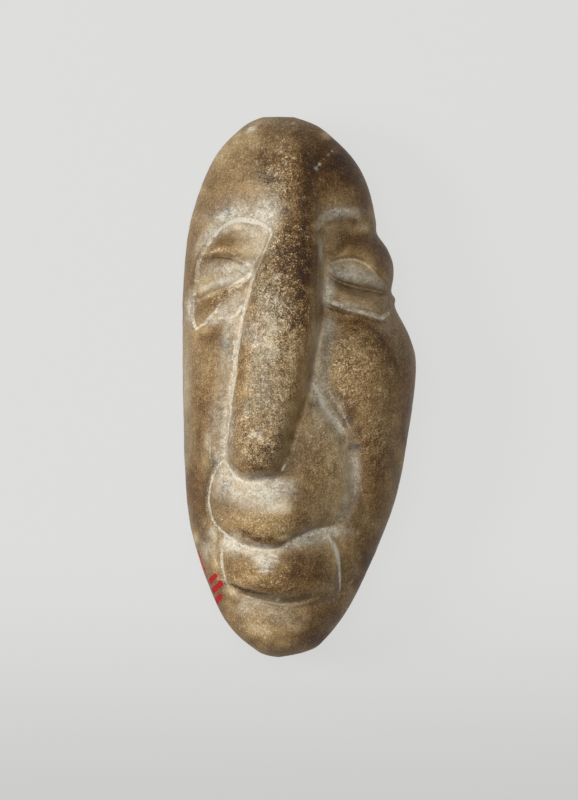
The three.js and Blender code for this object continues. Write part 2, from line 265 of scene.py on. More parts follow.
# Each stop of a line is x, y, half width on the left of the way it runs, half width on the
# right of it, and the rise or strength there.
NOSE = (
    (-0.3, 28.9, 2.1, 2.2, 0), (-0.4, 24.9, 2.7, 2.5, 0.6), (-0.5, 21.6, 3.1, 2.9, 1.5),
    (-0.8, 18.3, 3.5, 3.5, 2.4), (-1.3, 14.5, 4.1, 4.7, 3.2), (-1.9, 10.3, 4.8, 5.3, 3.8),
    (-2.7, 5.6, 4.8, 5.4, 4.2), (-3.6, 0.3, 4.7, 5.3, 4.6), (-4.7, -4.4, 4.3, 4.8, 5),
    (-5.5, -8.6, 3.9, 4.3, 5.3),
)
KEEL = (
    (-1.3, 35.3, 2.1, 5.3, 0), (-0.4, 32.9, 2.7, 6.7, 0.8), (0, 28.3, 2.9, 8, 1.5),
    (0.1, 22.9, 2.7, 6.9, 1.2), (0, 17.6, 2.5, 4.8, 0.6), (-0.3, 11.6, 2.1, 3.2, 0.2),
    (-0.8, 4.9, 2, 2, 0),
)

# Forms inside a closed outline: centre, rise at the centre, roundness of the section, edge and
# top edge powers, lean upwards, outline
PADS = {
    "left socket": ((-9.9, 15.9), -1.9, 3, 0.5, 0.5, 0, (
        (-4, 20.8), (-5.6, 21.9), (-7.5, 22.4), (-9.6, 21.7), (-11.6, 19.9), (-13.1, 17.5),
        (-13.7, 14.7), (-14.3, 11.3), (-14, 7.9), (-12.3, 8.7), (-10.1, 9.5), (-7.7, 10.5),
        (-5.9, 13.6), (-4.3, 17.5))),
    "left lid": ((-9.6, 19.2), 1.2, 2, 0.6, 1.8, -0.25, (
        (-4.8, 19.6), (-6.7, 20.9), (-9.1, 20.8), (-11.3, 19.2), (-12.5, 17.3), (-10.4, 17.3),
        (-8, 17.1), (-6.1, 16.7))),
    "left eyeball": ((-10.4, 14.8), 1.25, 2, 0.55, 0.55, -0.12, (
        (-6.4, 15.6), (-8, 16.8), (-10.4, 17.3), (-12.4, 17.1), (-13.5, 14.9), (-13.7, 11.9),
        (-11.7, 12.7), (-9.1, 13.7))),
    "left bag": ((-11.5, 10.9), 1.1, 2, 0.6, 0.6, -0.2, (
        (-6.9, 13.6), (-9.1, 13.3), (-11.5, 12.4), (-13.5, 11.3), (-14, 9.6), (-13.7, 8),
        (-11.7, 9.1), (-9.3, 9.9), (-7.5, 11.9))),
    "right socket": ((6.9, 16.3), -1.9, 3, 0.5, 0.5, 0, (
        (1.9, 19.6), (3.2, 21.5), (5.3, 22.8), (7.5, 22.7), (9.1, 21.5), (10.7, 19.9),
        (13.6, 18.3), (14.7, 14.3), (13.9, 9.2), (10.7, 9.2), (7.3, 9.9), (4.3, 10.8),
        (2.3, 13.6), (1.7, 16.7))),
    "right lid": ((8.3, 17.7), 1.9, 2, 0.6, 1.4, 0, (
        (3.7, 16.4), (4.8, 18.5), (6.9, 19.6), (9.9, 19.9), (12.5, 18.3), (13.6, 15.1),
        (12.8, 12.9), (10.8, 14), (8.8, 16.4), (6.1, 17.1))),
    "right eyeball": ((6.9, 15.1), 1, 2.5, 0.5, 0.5, 0, (
        (3.5, 15.7), (5.1, 16.8), (7.2, 17.1), (9.1, 16.5), (10.7, 15.1), (12.8, 12.8),
        (9.6, 12.8), (6.9, 13.5), (4.8, 14.4))),
    "right bag": ((8, 11.5), 1.7, 2, 0.55, 0.55, -0.2, (
        (3.3, 13.6), (6, 12.9), (9.1, 12.1), (12.5, 12.3), (13.6, 11.1), (12.8, 9.3),
        (9.9, 9.5), (6.7, 10.1), (4, 10.9))),
    "right cheek": ((9.1, 0.3), 1.9, 2.2, 1.2, 1.2, 0, (
        (3.5, 8.3), (6.7, 8.9), (11.3, 8.7), (16.7, 5.6), (18.7, -0.4), (17.3, -9.1),
        (13.6, -20.4), (9.6, -19.1), (6.9, -11.1), (4.8, -4.1), (2.9, 1.6), (2.5, 5.6))),
    "left cheek": ((-12.1, 0.3), 1, 2.2, 1.1, 1.1, 0, (
        (-9.6, 8.7), (-11.7, 8.1), (-14.7, 7.1), (-17.3, 2.3), (-17.1, -5.7), (-15.5, -13.7),
        (-12.8, -12.4), (-10.8, -8.4), (-9.6, -1.7), (-8.5, 4.9))),
    "muzzle": ((-2, -13.7), 1.9, 3, 1, 1, 0, (
        (-11.5, -11.1), (-8.5, -7.1), (-4, -3.1), (0, -0.4), (2.4, -1.2), (5.1, -4.7),
        (6.9, -9.1), (7.3, -13.5), (6.1, -17.2), (2.9, -19.1), (-0.5, -20.4), (-4.8, -21.6),
        (-8.5, -20.4), (-11.7, -18), (-12.5, -14.4))),
    "upper lip": ((-4, -16.1), 1.6, 2.2, 0.55, 2, -0.12, (
        (-11.9, -13.2), (-8.5, -10.3), (-4.7, -9.1), (0, -10.5), (3.7, -13.7), (4.7, -16.4),
        (2.9, -18.3), (-0.5, -19.9), (-4.5, -21.3), (-8.3, -20.4), (-11.1, -18.7),
        (-12.3, -15.7))),
    "lower lip": ((-2.5, -24.1), 2.2, 2.4, 0.5, 1.3, -0.16, (
        (-10.4, -22), (-8.9, -20.1), (-5.9, -19.6), (-2, -19.3), (1.9, -19.2), (4.5, -20.1),
        (5.7, -22.8), (5.6, -26), (4.3, -28), (0, -28.9), (-4.8, -28.4), (-8.5, -27.1),
        (-10.1, -24.7))),
    "chin": ((-2.7, -31.3), 0.9, 2, 0.8, 0.8, 0, (
        (-9.1, -27.9), (-5.1, -28.7), (0, -29.2), (4.5, -28.4), (3.5, -32.4), (0.5, -35.1),
        (-2.8, -35.9), (-5.9, -34.8), (-8.3, -32.1))),
}

CUTS = {
    "left of the nose": (
        (-4, 20.6, 0.4, 0.5, 0), (-4.4, 19.2, 0.4, 0.7, -0.3), (-5.2, 17.2, 0.4, 0.8, -0.45),
        (-6.6, 14.3, 0.4, 0.9, -0.5), (-7.3, 10.3, 0.4, 1.2, -0.5), (-8.1, 5.9, 0.5, 1.7, -0.5),
        (-9, -0.4, 0.5, 2, -0.5), (-9.4, -4.4, 0.5, 2, -0.5), (-9.8, -8.4, 0.6, 1.6, -0.45),
        (-9.5, -10.8, 0.8, 0.8, 0)),
    "right of the nose": (
        (2.7, 20.3, 0.8, 0.8, 0), (2.8, 15.6, 0.9, 0.8, -0.25), (3, 11.6, 1.1, 0.8, -0.35),
        (2.5, 6.9, 1.9, 0.9, -0.7), (1.6, 2.3, 2.1, 1, -0.8), (0.4, -2.4, 1.8, 0.9, -0.6),
        (-0.7, -7.1, 1.3, 0.8, -0.4), (-1.9, -10.5, 0.8, 0.8, 0)),
    "under the nose": (
        (-9.1, -11.1, 0.5, 0.7, 0), (-7.7, -12.1, 0.5, 0.8, -0.3), (-5.9, -12.5, 0.5, 0.8, -0.35),
        (-3.7, -12.3, 0.5, 0.8, -0.3), (-1.9, -11.1, 0.5, 0.7, 0)),
    "cheek fold": (
        (1.6, -0.1, 0.8, 0.8, 0), (3.3, -2.1, 1.3, 1.6, -0.55), (5.7, -5.7, 1.3, 1.7, -0.7),
        (6.9, -9.1, 1.3, 1.7, -0.7), (7.2, -13.1, 1.2, 1.6, -0.6), (6.3, -16.4, 0.9, 1.3, -0.5),
        (5.1, -18.3, 0.9, 1.1, -0.3)),
    "left of the lips": (
        (-10.1, -9.2, 0.7, 0.7, 0), (-11.7, -11.6, 0.7, 0.8, -0.4), (-12.3, -14.5, 0.7, 0.8, -0.5),
        (-11.7, -17.2, 0.7, 0.8, -0.5), (-10.5, -19.1, 0.7, 0.8, -0.6),
        (-10.5, -21.7, 0.8, 0.8, -0.6), (-10.3, -24.7, 0.7, 0.7, -0.5), (-9.3, -27.3, 0.5, 0.5, 0)),
    "between the lips": (
        (-10.4, -18.8, 0.5, 0.5, -0.3), (-8.5, -20.3, 0.5, 0.5, -0.45), (-6.7, -21.1, 0.5, 0.5, -0.5),
        (-4.7, -21.5, 0.5, 0.5, -0.5), (-2.7, -21.3, 0.5, 0.5, -0.5), (-0.5, -20.1, 0.7, 0.5, -0.5),
        (2.4, -18.8, 0.7, 0.5, -0.5), (5.1, -18.3, 0.7, 0.5, -0.4)),
    "right of the lower lip": (
        (4, -18.8, 0.8, 0.8, -0.2), (5.2, -20.7, 0.7, 0.8, -0.5), (5.7, -23.3, 0.7, 0.8, -0.5),
        (5.5, -26.8, 0.7, 0.7, -0.3), (4.8, -28.7, 0.5, 0.5, 0)),
    "left brow": (
        (-13.9, 12.9, 0.5, 0.3, 0), (-13.5, 16, 0.8, 0.3, -0.2), (-12.7, 18.2, 1.1, 0.3, -0.28),
        (-11.5, 20, 1.4, 0.3, -0.32), (-9.6, 21.7, 1.7, 0.3, -0.35), (-7.5, 22.3, 1.8, 0.3, -0.35),
        (-5.6, 21.9, 1.5, 0.3, -0.3), (-4.2, 20.7, 0.9, 0.3, -0.15)),
    "right brow": (
        (2.5, 20.4, 0.9, 0.5, -0.15), (3.3, 22, 1.3, 0.5, -0.35), (5.2, 23.1, 1.5, 0.5, -0.4),
        (7.5, 22.6, 1.4, 0.5, -0.4), (9.2, 21.1, 1, 0.5, -0.35), (10.9, 19.6, 0.7, 0.7, -0.25),
        (13.3, 18.9, 0.7, 0.7, -0.2)),
    "under the left eyeball": (
        (-6.4, 15.3, 0.4, 0.4, -0.1), (-8.5, 13.7, 0.4, 0.5, -0.3), (-11.2, 12.4, 0.5, 0.5, -0.35),
        (-13.7, 11.1, 0.4, 0.4, -0.2)),
    "under the left bag": (
        (-6.9, 12.1, 0.4, 0.4, 0), (-8, 10.1, 0.4, 0.5, -0.4), (-9.9, 9.2, 0.4, 0.5, -0.35),
        (-11.7, 8.8, 0.4, 0.5, -0.45), (-13.9, 7.6, 0.4, 0.4, -0.2), (-14.1, 11.6, 0.4, 0.4, -0.2)),
    "under the right bag": (
        (3.1, 11.4, 0.4, 0.4, -0.1), (4.3, 10.5, 0.4, 0.5, -0.45), (6.7, 10.1, 0.4, 0.5, -0.5),
        (9, 9.9, 0.4, 0.5, -0.5), (10.8, 9.1, 0.4, 0.5, -0.5), (12.3, 9.6, 0.4, 0.5, -0.4),
        (13.6, 10.9, 0.4, 0.4, -0.2)),
}

# Facets cut with crisp edges: each is deepest at the line and rises straight to both sides
FACETS = {
    "under the lower lip": (
        (-9.3, -26.7, 0.3, 0.2, -0.1), (-8, -27.4, 0.9, 0.25, -0.7), (-6.6, -27.9, 1.1, 0.25, -1),
        (-5, -28.3, 1.2, 0.25, -1.2), (-3.3, -28.7, 1.4, 0.25, -1.3), (-1.4, -28.7, 1.5, 0.25, -1.2),
        (0.6, -28.4, 1.4, 0.25, -0.9), (2.3, -27.8, 1.2, 0.25, -0.5), (3.8, -27.2, 0.6, 0.2, -0.1)),
    "under the left lid": (
        (-12.6, 17, 0.4, 0.3, -0.2), (-11, 17.3, 0.45, 0.25, -0.55), (-9.7, 17.2, 0.45, 0.25, -0.65),
        (-8.5, 16.9, 0.45, 0.25, -0.6), (-7.4, 16.3, 0.4, 0.25, -0.4), (-6.5, 15.7, 0.3, 0.2, -0.1)),
    "under the right lid": (
        (3.3, 15.5, 0.25, 0.3, -0.2), (4, 16.3, 0.25, 0.5, -0.5), (5, 16.9, 0.25, 0.7, -0.65),
        (6.2, 17.1, 0.25, 0.8, -0.7), (7.4, 17, 0.25, 0.8, -0.65), (8.5, 16.6, 0.25, 0.7, -0.55),
        (9.5, 15.9, 0.25, 0.5, -0.45), (10.5, 15, 0.2, 0.45, -0.4), (11.4, 14, 0.2, 0.4, -0.35),
        (12.3, 13, 0.15, 0.25, -0.1)),
    "under the right eyeball": (
        (3.4, 15.4, 0.25, 0.25, -0.3), (4.3, 14.5, 0.2, 0.4, -0.7), (5.5, 13.9, 0.2, 0.45, -0.85),
        (7.1, 13.4, 0.2, 0.45, -0.9), (8.8, 13, 0.2, 0.45, -0.9), (10.5, 12.7, 0.2, 0.45, -0.85),
        (12, 12.4, 0.2, 0.4, -0.7), (13.3, 12.4, 0.2, 0.3, -0.4)),
}

# Pale residue that stays in the cuts, as lines and as patches, together with painted highlights
# and glints in the same pale colour on the lips and by the nose tip. A patch is x, y, half width,
# half height and strength, and then the turn in degrees of a turned one.
RESIDUE_AND_HIGHLIGHT_LINES = (
    ((-3.8, 20.1, 0.26, 0.36, 0.99), (-4, 20.7, 0.24, 0.42, 1.07), (-4.8, 21.3, 0.28, 0.56, 1.07),
     (-5.8, 21.7, 0.31, 0.7, 1.31), (-7, 21.9, 0.31, 0.7, 1.31), (-8.2, 22, 0.31, 0.7, 1.31),
     (-9.3, 21.6, 0.31, 0.62, 1.31), (-10.3, 21, 0.31, 0.52, 0.85), (-11.4, 19.9, 0.34, 0.76, 0.83),
     (-12.3, 18.7, 0.35, 0.65, 0.5), (-13, 17.5, 0.35, 0.58, 0.4), (-13.4, 16.2, 0.35, 0.58, 0.34),
     (-13.6, 14.6, 0.35, 0.65, 0.31), (-13.7, 13.1, 0.35, 0.77, 0.34), (-14.1, 11.5, 0.29, 0.53, 0.48),
     (-14.2, 9.9, 0.29, 0.67, 0.6), (-14, 8.6, 0.29, 0.53, 0.64), (-13.7, 7.7, 0.29, 0.4, 0.64)),
    ((-3.8, 20.5, 0.11, 0.25, 0.8), (-4, 19.4, 0.1, 0.23, 0.8), (-4.4, 18.5, 0.1, 0.19, 0.7),
     (-4.8, 17.6, 0.1, 0.17, 0.6), (-5.2, 16.5, 0.1, 0.17, 0.55), (-5.7, 15.4, 0.1, 0.18, 0.6),
     (-6.1, 14.5, 0.21, 0.33, 0.65), (-6.4, 13.5, 0.21, 0.46, 0.68), (-6.7, 12.3, 0.21, 0.51, 0.68),
     (-7, 11.1, 0.21, 0.53, 0.68), (-7.3, 9.9, 0.21, 0.58, 0.68), (-7.6, 8.6, 0.21, 0.63, 0.68),
     (-7.8, 6.9, 0.21, 0.68, 0.74), (-8.1, 5.1, 0.21, 0.68, 0.74), (-8.3, 3.6, 0.21, 0.75, 0.74),
     (-8.5, 1.6, 0.21, 0.82, 0.74), (-8.9, -0.7, 0.21, 0.82, 0.74), (-9.1, -3.1, 0.13, 0.51, 0.74),
     (-9.4, -5.4, 0.13, 0.51, 0.73), (-9.7, -7.4, 0.16, 0.51, 0.69), (-9.9, -9, 0.2, 0.42, 0.61)),
    ((-9.3, 8.7, 0.13, 0.27, 0.4), (-8.9, 7.1, 0.16, 0.27, 0.5), (-8.7, 5.3, 0.16, 0.27, 0.4),
     (-8.9, 3.3, 0.13, 0.27, 0.25)),
    ((-13.7, 7.7, 0.25, 0.29, 0.64), (-12.7, 8.4, 0.35, 0.29, 0.64), (-11.8, 9.2, 0.44, 0.29, 0.64),
     (-11, 10, 0.5, 0.29, 0.6), (-10.5, 11, 0.37, 0.29, 0.4)),
    ((-10.7, 9.2, 0.27, 0.27, 0.55), (-9.8, 9, 0.33, 0.27, 0.72), (-8.9, 9.2, 0.43, 0.24, 0.94),
     (-8.1, 9.8, 0.43, 0.24, 1.05), (-7.7, 10.8, 0.33, 0.24, 0.77)),
    ((2.4, 21, 0.71, 0.56, 0.21), (2.8, 22, 0.71, 0.56, 0.34), (3.6, 22.9, 0.71, 0.56, 0.38),
     (4.6, 23.3, 0.71, 0.56, 0.42), (5.8, 23.4, 0.71, 0.56, 0.42), (6.9, 23.1, 0.71, 0.56, 0.38),
     (7.8, 22.4, 0.71, 0.56, 0.25)),
    ((3.7, 15.7, 0.17, 0.16, 0.24), (4.2, 16.2, 0.17, 0.24, 0.41), (5, 16.6, 0.17, 0.29, 0.51),
     (6.1, 16.9, 0.17, 0.32, 0.55), (7.3, 16.9, 0.17, 0.32, 0.48), (8.3, 16.5, 0.17, 0.32, 0.41),
     (9.3, 15.9, 0.17, 0.29, 0.31), (10.1, 15.1, 0.17, 0.19, 0.2)),
    ((7.1, 14.8, 0.13, 0.19, 0.36), (8.3, 14.5, 0.27, 0.21, 0.54), (9.5, 14.5, 0.24, 0.19, 0.51),
     (10.3, 14.8, 0.13, 0.13, 0.3)),
    ((3.2, 11.6, 0.6, 0.26, 0.61), (4.1, 11.1, 0.8, 0.3, 0.61), (5.1, 10.7, 0.7, 0.3, 0.61),
     (6.3, 10.3, 0.6, 0.3, 0.61), (7.5, 10, 0.6, 0.3, 0.61), (8.7, 9.7, 0.6, 0.3, 0.61),
     (9.8, 9.3, 0.7, 0.3, 0.61), (10.9, 9.1, 0.7, 0.3, 0.61), (11.8, 9.7, 0.5, 0.26, 0.55)),
    ((3, 10.8, 0.13, 0.13, 0.4), (3.6, 10.2, 0.13, 0.13, 0.9), (4.1, 10.2, 0.09, 0.09, 0.4)),
    ((1.8, 0.4, 0.5, 0.5, 0.56), (2.5, -1.2, 0.7, 0.7, 0.71), (3.3, -2.8, 0.8, 0.6, 0.71),
     (4.3, -4.4, 0.9, 0.6, 0.71), (5.4, -5.7, 0.8, 0.6, 0.63), (5.8, -6.2, 0.55, 0.5, 0.31)),
    ((2.9, 0.9, 0.2, 0.18, 0.3), (3.8, -0.5, 0.29, 0.24, 0.42), (4.7, -1.9, 0.37, 0.27, 0.42),
     (5.7, -3.6, 0.37, 0.27, 0.4), (6.5, -5.3, 0.29, 0.27, 0.35)),
    ((6.9, -9, 0.43, 0.4, 0.07), (7.3, -10.2, 0.65, 0.6, 0.42), (7.5, -11.7, 0.69, 0.65, 0.45),
     (7.3, -13.2, 0.65, 0.6, 0.42), (6.9, -14.7, 0.56, 0.52, 0.35), (6.2, -16, 0.56, 0.52, 0.31),
     (5.5, -17.1, 0.56, 0.52, 0.31), (4.9, -18, 0.56, 0.52, 0.35)),
    ((7.8, -11.8, 0.18, 0.18, 0.43), (8.1, -13.2, 0.14, 0.14, 0.4), (8.5, -14.6, 0.12, 0.12, 0.34),
     (8.9, -16, 0.07, 0.07, 0.19)),
    ((-2.4, -11, 0.17, 0.17, 0.9), (-2.1, -10.5, 0.21, 0.21, 1.1), (-1.8, -10.1, 0.13, 0.13, 0.6),
     (-1.1, -8.6, 0.13, 0.13, 0.21), (-0.3, -6.5, 0.16, 0.16, 0.22), (0.5, -4.1, 0.16, 0.16, 0.22),
     (1, -2.3, 0.16, 0.16, 0.17)),
    ((-9.8, -9.3, 0.1, 0.53, 0.5), (-9.3, -10.5, 0.13, 0.64, 0.75), (-8.5, -11.5, 0.13, 0.75, 0.75),
     (-7.4, -12.4, 0.09, 0.67, 0.75), (-6.2, -12.7, 0.09, 0.67, 0.75), (-4.9, -12.8, 0.07, 0.67, 0.21),
     (-3.7, -12.5, 0.07, 0.58, 0.18), (-2.5, -12, 0.07, 0.48, 0.12)),
    ((-10.1, -9.8, 0.34, 0.24, 0.61), (-10.9, -10.6, 0.34, 0.24, 0.61),
     (-11.5, -11.8, 0.34, 0.24, 0.61), (-11.9, -13.4, 0.27, 0.24, 0.61), (-12.1, -15, 0.22, 0.24, 0.61),
     (-11.9, -16.4, 0.21, 0.24, 0.61), (-11.4, -17.8, 0.21, 0.24, 0.61),
     (-10.5, -18.7, 0.21, 0.24, 0.61)),
    ((-10.5, -18.8, 0.16, 0.44, 0.83), (-9.4, -19.7, 0.16, 0.5, 0.98), (-8.2, -20.6, 0.16, 0.5, 1.03),
     (-6.9, -21.2, 0.16, 0.44, 0.98), (-5.4, -21.6, 0.16, 0.39, 0.72), (-4, -21.5, 0.16, 0.39, 0.52),
     (-2.7, -21.1, 0.16, 0.55, 0.52), (-1.3, -20.4, 0.16, 1.03, 0.57), (0.1, -19.8, 0.19, 1.17, 0.57),
     (1.6, -19, 0.19, 1.32, 0.57), (3.2, -18.7, 0.24, 1.17, 0.57), (4.6, -18.5, 0.24, 0.88, 0.52)),
    ((-9.8, -19.6, 0.2, 0.33, 0.64), (-10.1, -20.9, 0.2, 0.33, 0.64), (-10.3, -22.4, 0.2, 0.37, 0.64),
     (-10.2, -23.9, 0.2, 0.37, 0.6), (-9.9, -25.3, 0.19, 0.29, 0.56), (-9.4, -26.7, 0.16, 0.24, 0.4),
     (-9, -27.7, 0.13, 0.16, 0.24)),
    ((-11.9, -21.1, 0.12, 0.12, 0.25), (-11.5, -22.3, 0.13, 0.13, 0.5), (-11, -23.5, 0.13, 0.13, 0.4),
     (-10.7, -24.4, 0.11, 0.11, 0.25)),
    ((3.3, -19.3, 0.45, 0.45, 0.5), (4.1, -20.1, 0.45, 0.45, 0.62), (4.6, -21.1, 0.4, 0.45, 0.8),
     (5, -22.1, 0.35, 0.45, 0.85), (5.2, -23.5, 0.29, 0.35, 0.78), (5.3, -25.1, 0.27, 0.27, 0.72),
     (5.3, -26.4, 0.19, 0.2, 0.55), (5.2, -28, 0.11, 0.11, 0.3)),
    ((-11.8, -6.5, 0.14, 0.14, 0.34), (-11.9, -8, 0.18, 0.18, 0.58), (-11.9, -9.5, 0.12, 0.12, 0.48)),
    ((-5.1, -34.3, 0.16, 0.16, 0.21), (-4.3, -32.6, 0.19, 0.19, 0.32)),
    ((4.7, 14.8, 0.11, 0.11, 0.45), (5.9, 15.5, 0.15, 0.15, 0.75), (7.4, 16.1, 0.15, 0.15, 0.6)),
    ((5.8, 14.1, 0.11, 0.11, 0.45), (7.4, 15.1, 0.16, 0.16, 0.75), (9, 15.6, 0.13, 0.13, 0.52)),
    ((7.9, 13.5, 0.11, 0.11, 0.39), (9.3, 14.2, 0.15, 0.15, 0.65), (10.3, 14.2, 0.13, 0.13, 0.45)),
    ((1.7, -1.7, 0.2, 0.2, 0.3), (2.6, -0.7, 0.24, 0.24, 0.4), (3.8, 0.1, 0.2, 0.2, 0.3)),
    ((4, 14.5, 0.11, 0.11, 0.2), (5.4, 13.9, 0.19, 0.17, 0.32), (7, 13.3, 0.19, 0.17, 0.32),
     (8.7, 13, 0.19, 0.17, 0.32), (10.5, 12.7, 0.17, 0.15, 0.32), (11.7, 12.6, 0.11, 0.11, 0.2)),
    ((1.9, 28.7, 0.09, 0.09, 0.4), (2.2, 29.1, 0.15, 0.15, 0.8), (2.6, 29.5, 0.09, 0.09, 0.4)),
)
RESIDUE_AND_HIGHLIGHT_PATCHES = (
    (-4.2, 23, 1.6, 2.4, 0.62), (-9.8, 22.2, 2, 1.1, 0.4, 35), (-12.1, 20.1, 2.6, 1, 0.42, 52),
    (-5.8, 19.4, 1.6, 2.5, 0.42, -12), (-7.7, 20.4, 1.8, 0.9, 0.25),
    (-8.2, 15.8, 1.8, 1.1, 0.62, 10), (-10.3, 15.5, 2.2, 1.2, 0.35), (-6.9, 15.6, 0.7, 0.9, 0.7),
    (-9, 7, 1.1, 2, 0.42, -10), (-10.2, -5, 1.5, 4, 0.45), (-14.6, 9.6, 0.6, 1.8, 0.35),
    (3.7, 12.5, 0.9, 1.7, 0.55), (3.7, 7.9, 1.1, 1.5, 0.32), (2.9, 4.9, 1.3, 3.4, 0.28),
    (2.2, 0.1, 1, 2, 0.38), (3.9, -3.1, 1.2, 4.5, 0.25, 38), (6.5, -15.2, 1, 3, 0.2, -20),
    (2.9, -19.6, 3.2, 1.1, 0.5, 10), (-0.3, -20.6, 1.6, 0.8, 0.3, 20),
    (-7.3, -21.3, 2.8, 0.9, 0.5, -12), (-4.6, -22.8, 1.6, 0.7, 0.85), (-9, -21, 1.2, 1.2, 0.5),
    (-6.4, -28.2, 2, 0.5, 0.3, -18), (-11.5, -19.2, 0.8, 0.7, 0.5), (-12.2, -21.6, 1, 1.4, 0.35),
    (-6.4, 34.3, 0.7, 0.3, 1, 25), (-6.4, 7.5, 1.4, 1.8, 0.3), (-5.7, 29.7, 0.1, 0.4, 0.5, 25),
    (-4.2, 28.5, 0.4, 0.1, 0.5, 60), (-2.5, 31.1, 0.5, 0.1, 0.4, 20),
    (-1.9, 29.5, 0.1, 0.4, 0.4, -20), (-0.9, 35.1, 0.3, 0.1, 0.5, 20),
    (-7.3, 14.7, 1.1, 0.5, 0.85, 15), (-8.5, 14.3, 1.4, 0.6, 0.85, 16),
    (-9.9, 13.9, 1.5, 0.6, 0.65, 16), (-14.6, 10.9, 0.7, 1.6, 0.35), (5.5, 15.2, 2, 1.1, 0.42, -10),
    (7.9, 14.8, 2.2, 1, 0.42, -18), (10.3, 13.7, 1.4, 0.6, 0.35, -32),
    (-1.9, -13.4, 1.6, 1.2, 0.35, -10), (-3.2, -15.3, 1.6, 0.8, 0.3),
    (-11.4, 13.6, 1.5, 0.5, 0.32, 18), (-12.9, 13.1, 1.3, 0.5, 0.25, 18),
    (-6.4, -13.6, 4.4, 1.9, 0.5), (-5, 1.2, 2, 6, 0.1, 8), (2.8, 17.8, 0.3, 1.6, 0.5),
    (3.8, 13.5, 0.8, 1.4, 0.25), (-5.6, -32, 2, 0.8, 0.15, -12), (-11.1, 9, 1.6, 0.6, 0.45, 30),
    (-4.5, -21.3, 2.2, 0.5, 0.4), (5.9, 23.2, 2.6, 0.8, 0.25), (-2.7, -15.9, 1.8, 0.8, 0.35),
    (-5.6, -14.3, 3.2, 1.2, 0.25), (-9.8, -1.7, 0.7, 5, 0.3, -3), (-5, -14.9, 2.4, 1.6, 0.35),
    (-9.4, 7.5, 0.8, 3.2, 0.25, -8), (-9.8, 1.2, 1.1, 4.4, 0.2), (-5, -29.8, 3.4, 1.2, 0.15, -5),
    (6.7, -9.5, 0.7, 0.8, 0.5), (-4, -21.6, 1.8, 0.6, 0.5), (4.7, -5.4, 0.5, 1.2, 0.3, 35),
    (-9, -11.2, 0.7, 0.8, 0.4, 30), (-9.5, -20.3, 1.6, 0.8, 0.4, 35), (-4.5, 20.5, 1, 1, 0.3),
    (-9.5, 3.2, 0.8, 1.6, 0.35), (-9.5, 21.3, 1.8, 0.5, 0.45, 35), (-8.9, 9.2, 1.1, 0.5, 0.45, -15),
    (-7.9, 14.3, 1, 0.5, 0.4, 16), (-9, 13.2, 1.4, 0.5, 0.15, 16), (-7.9, 13.5, 1, 0.5, 0.2, 16),
    (-5.6, 5.5, 1, 0.4, 0.5, 5), (-4.6, 5.8, 0.9, 0.7, 0.35), (-3.4, 5, 0.8, 0.2, 0.4, -20),
    (7, -11, 1, 3.4, 0.2, -3), (6.9, -11.8, 0.6, 1.2, 0.3), (7.3, -12.1, 0.6, 2.4, 0.2, -5),
    (-3.1, 14.5, 0.3, 0.4, 0.4), (-3.2, 11.5, 0.3, 0.6, 0.4), (-4.2, 10.9, 0.4, 0.4, 0.3),
    (-4.2, 8.8, 0.6, 0.6, 0.3), (-10.3, 10.2, 0.8, 0.7, 0.3, 40), (-7.9, 14.4, 1.2, 0.5, 0.3, 16),
    (5.9, -7.8, 0.5, 0.5, 0.25), (4.9, -1.7, 0.5, 1.6, 0.2, 28), (6.9, 10.8, 3.2, 0.4, 0.25, -12),
    (4.8, 22.6, 1.6, 0.6, 0.2, 10), (2.1, 28.9, 0.3, 0.2, 0.6, -40),
    (2.6, 29.5, 0.2, 0.2, 0.6, -40), (3.2, 30.1, 0.1, 0.1, 0.5), (3.8, 30.8, 0.2, 0.1, 0.6, 40),
    (4.3, 31.3, 0.2, 0.1, 0.7, -40), (-2.9, -28.2, 0.3, 0.2, 0.8, 25),
    (-7.6, -29.4, 0.8, 0.8, 0.28), (-1.3, -31.2, 2, 1.2, 0.12), (-7.6, 22.6, 4, 0.8, 0.15, 4),
    (-7.7, 21.6, 3, 0.5, 0.3, 3), (-9.5, 8.6, 1.4, 0.8, 0.22), (-12.2, -7.2, 0.4, 1.4, 0.35),
    (7, -2, 0.5, 0.1, 0.5, 30), (6.9, -25.8, 0.1, 0.3, 0.5, -20), (-5.6, -6.5, 1, 0.6, 0.35, 15),
    (-5.6, -6.1, 0.8, 0.8, 0.3), (-4.5, -22.3, 1.5, 0.3, 0.85), (-4.1, -23, 1.3, 0.3, 0.8),
    (-7.6, 23, 4.4, 1.3, 0.44, 4), (-8.2, 11.6, 1.2, 1.5, 0.42), (-9.5, 10.3, 1.2, 0.9, 0.44),
    (-8.2, 14.5, 1.9, 0.5, 0.75, 18), (-10.1, -12, 1.4, 2, 0.5, 20), (-10.3, -8.9, 1.2, 1.2, 0.38),
    (7.7, -19.3, 0.2, 0.1, 0.6, -40), (-4.6, -24.3, 1, 0.3, 0.7), (-4.6, -23.6, 1.2, 0.3, 0.8),
    (-7.2, 24.7, 3.4, 1.2, 0.2), (-6.4, -12.3, 3, 0.7, 0.4, -3), (-4.2, -13.2, 2.4, 1.2, 0.55),
    (-4.5, -7.4, 0.5, 0.8, 0.15, -20), (-6.3, -12.8, 0.4, 0.2, 0.8),
    (-2.8, -12.8, 0.6, 0.1, 0.7, 20),
)
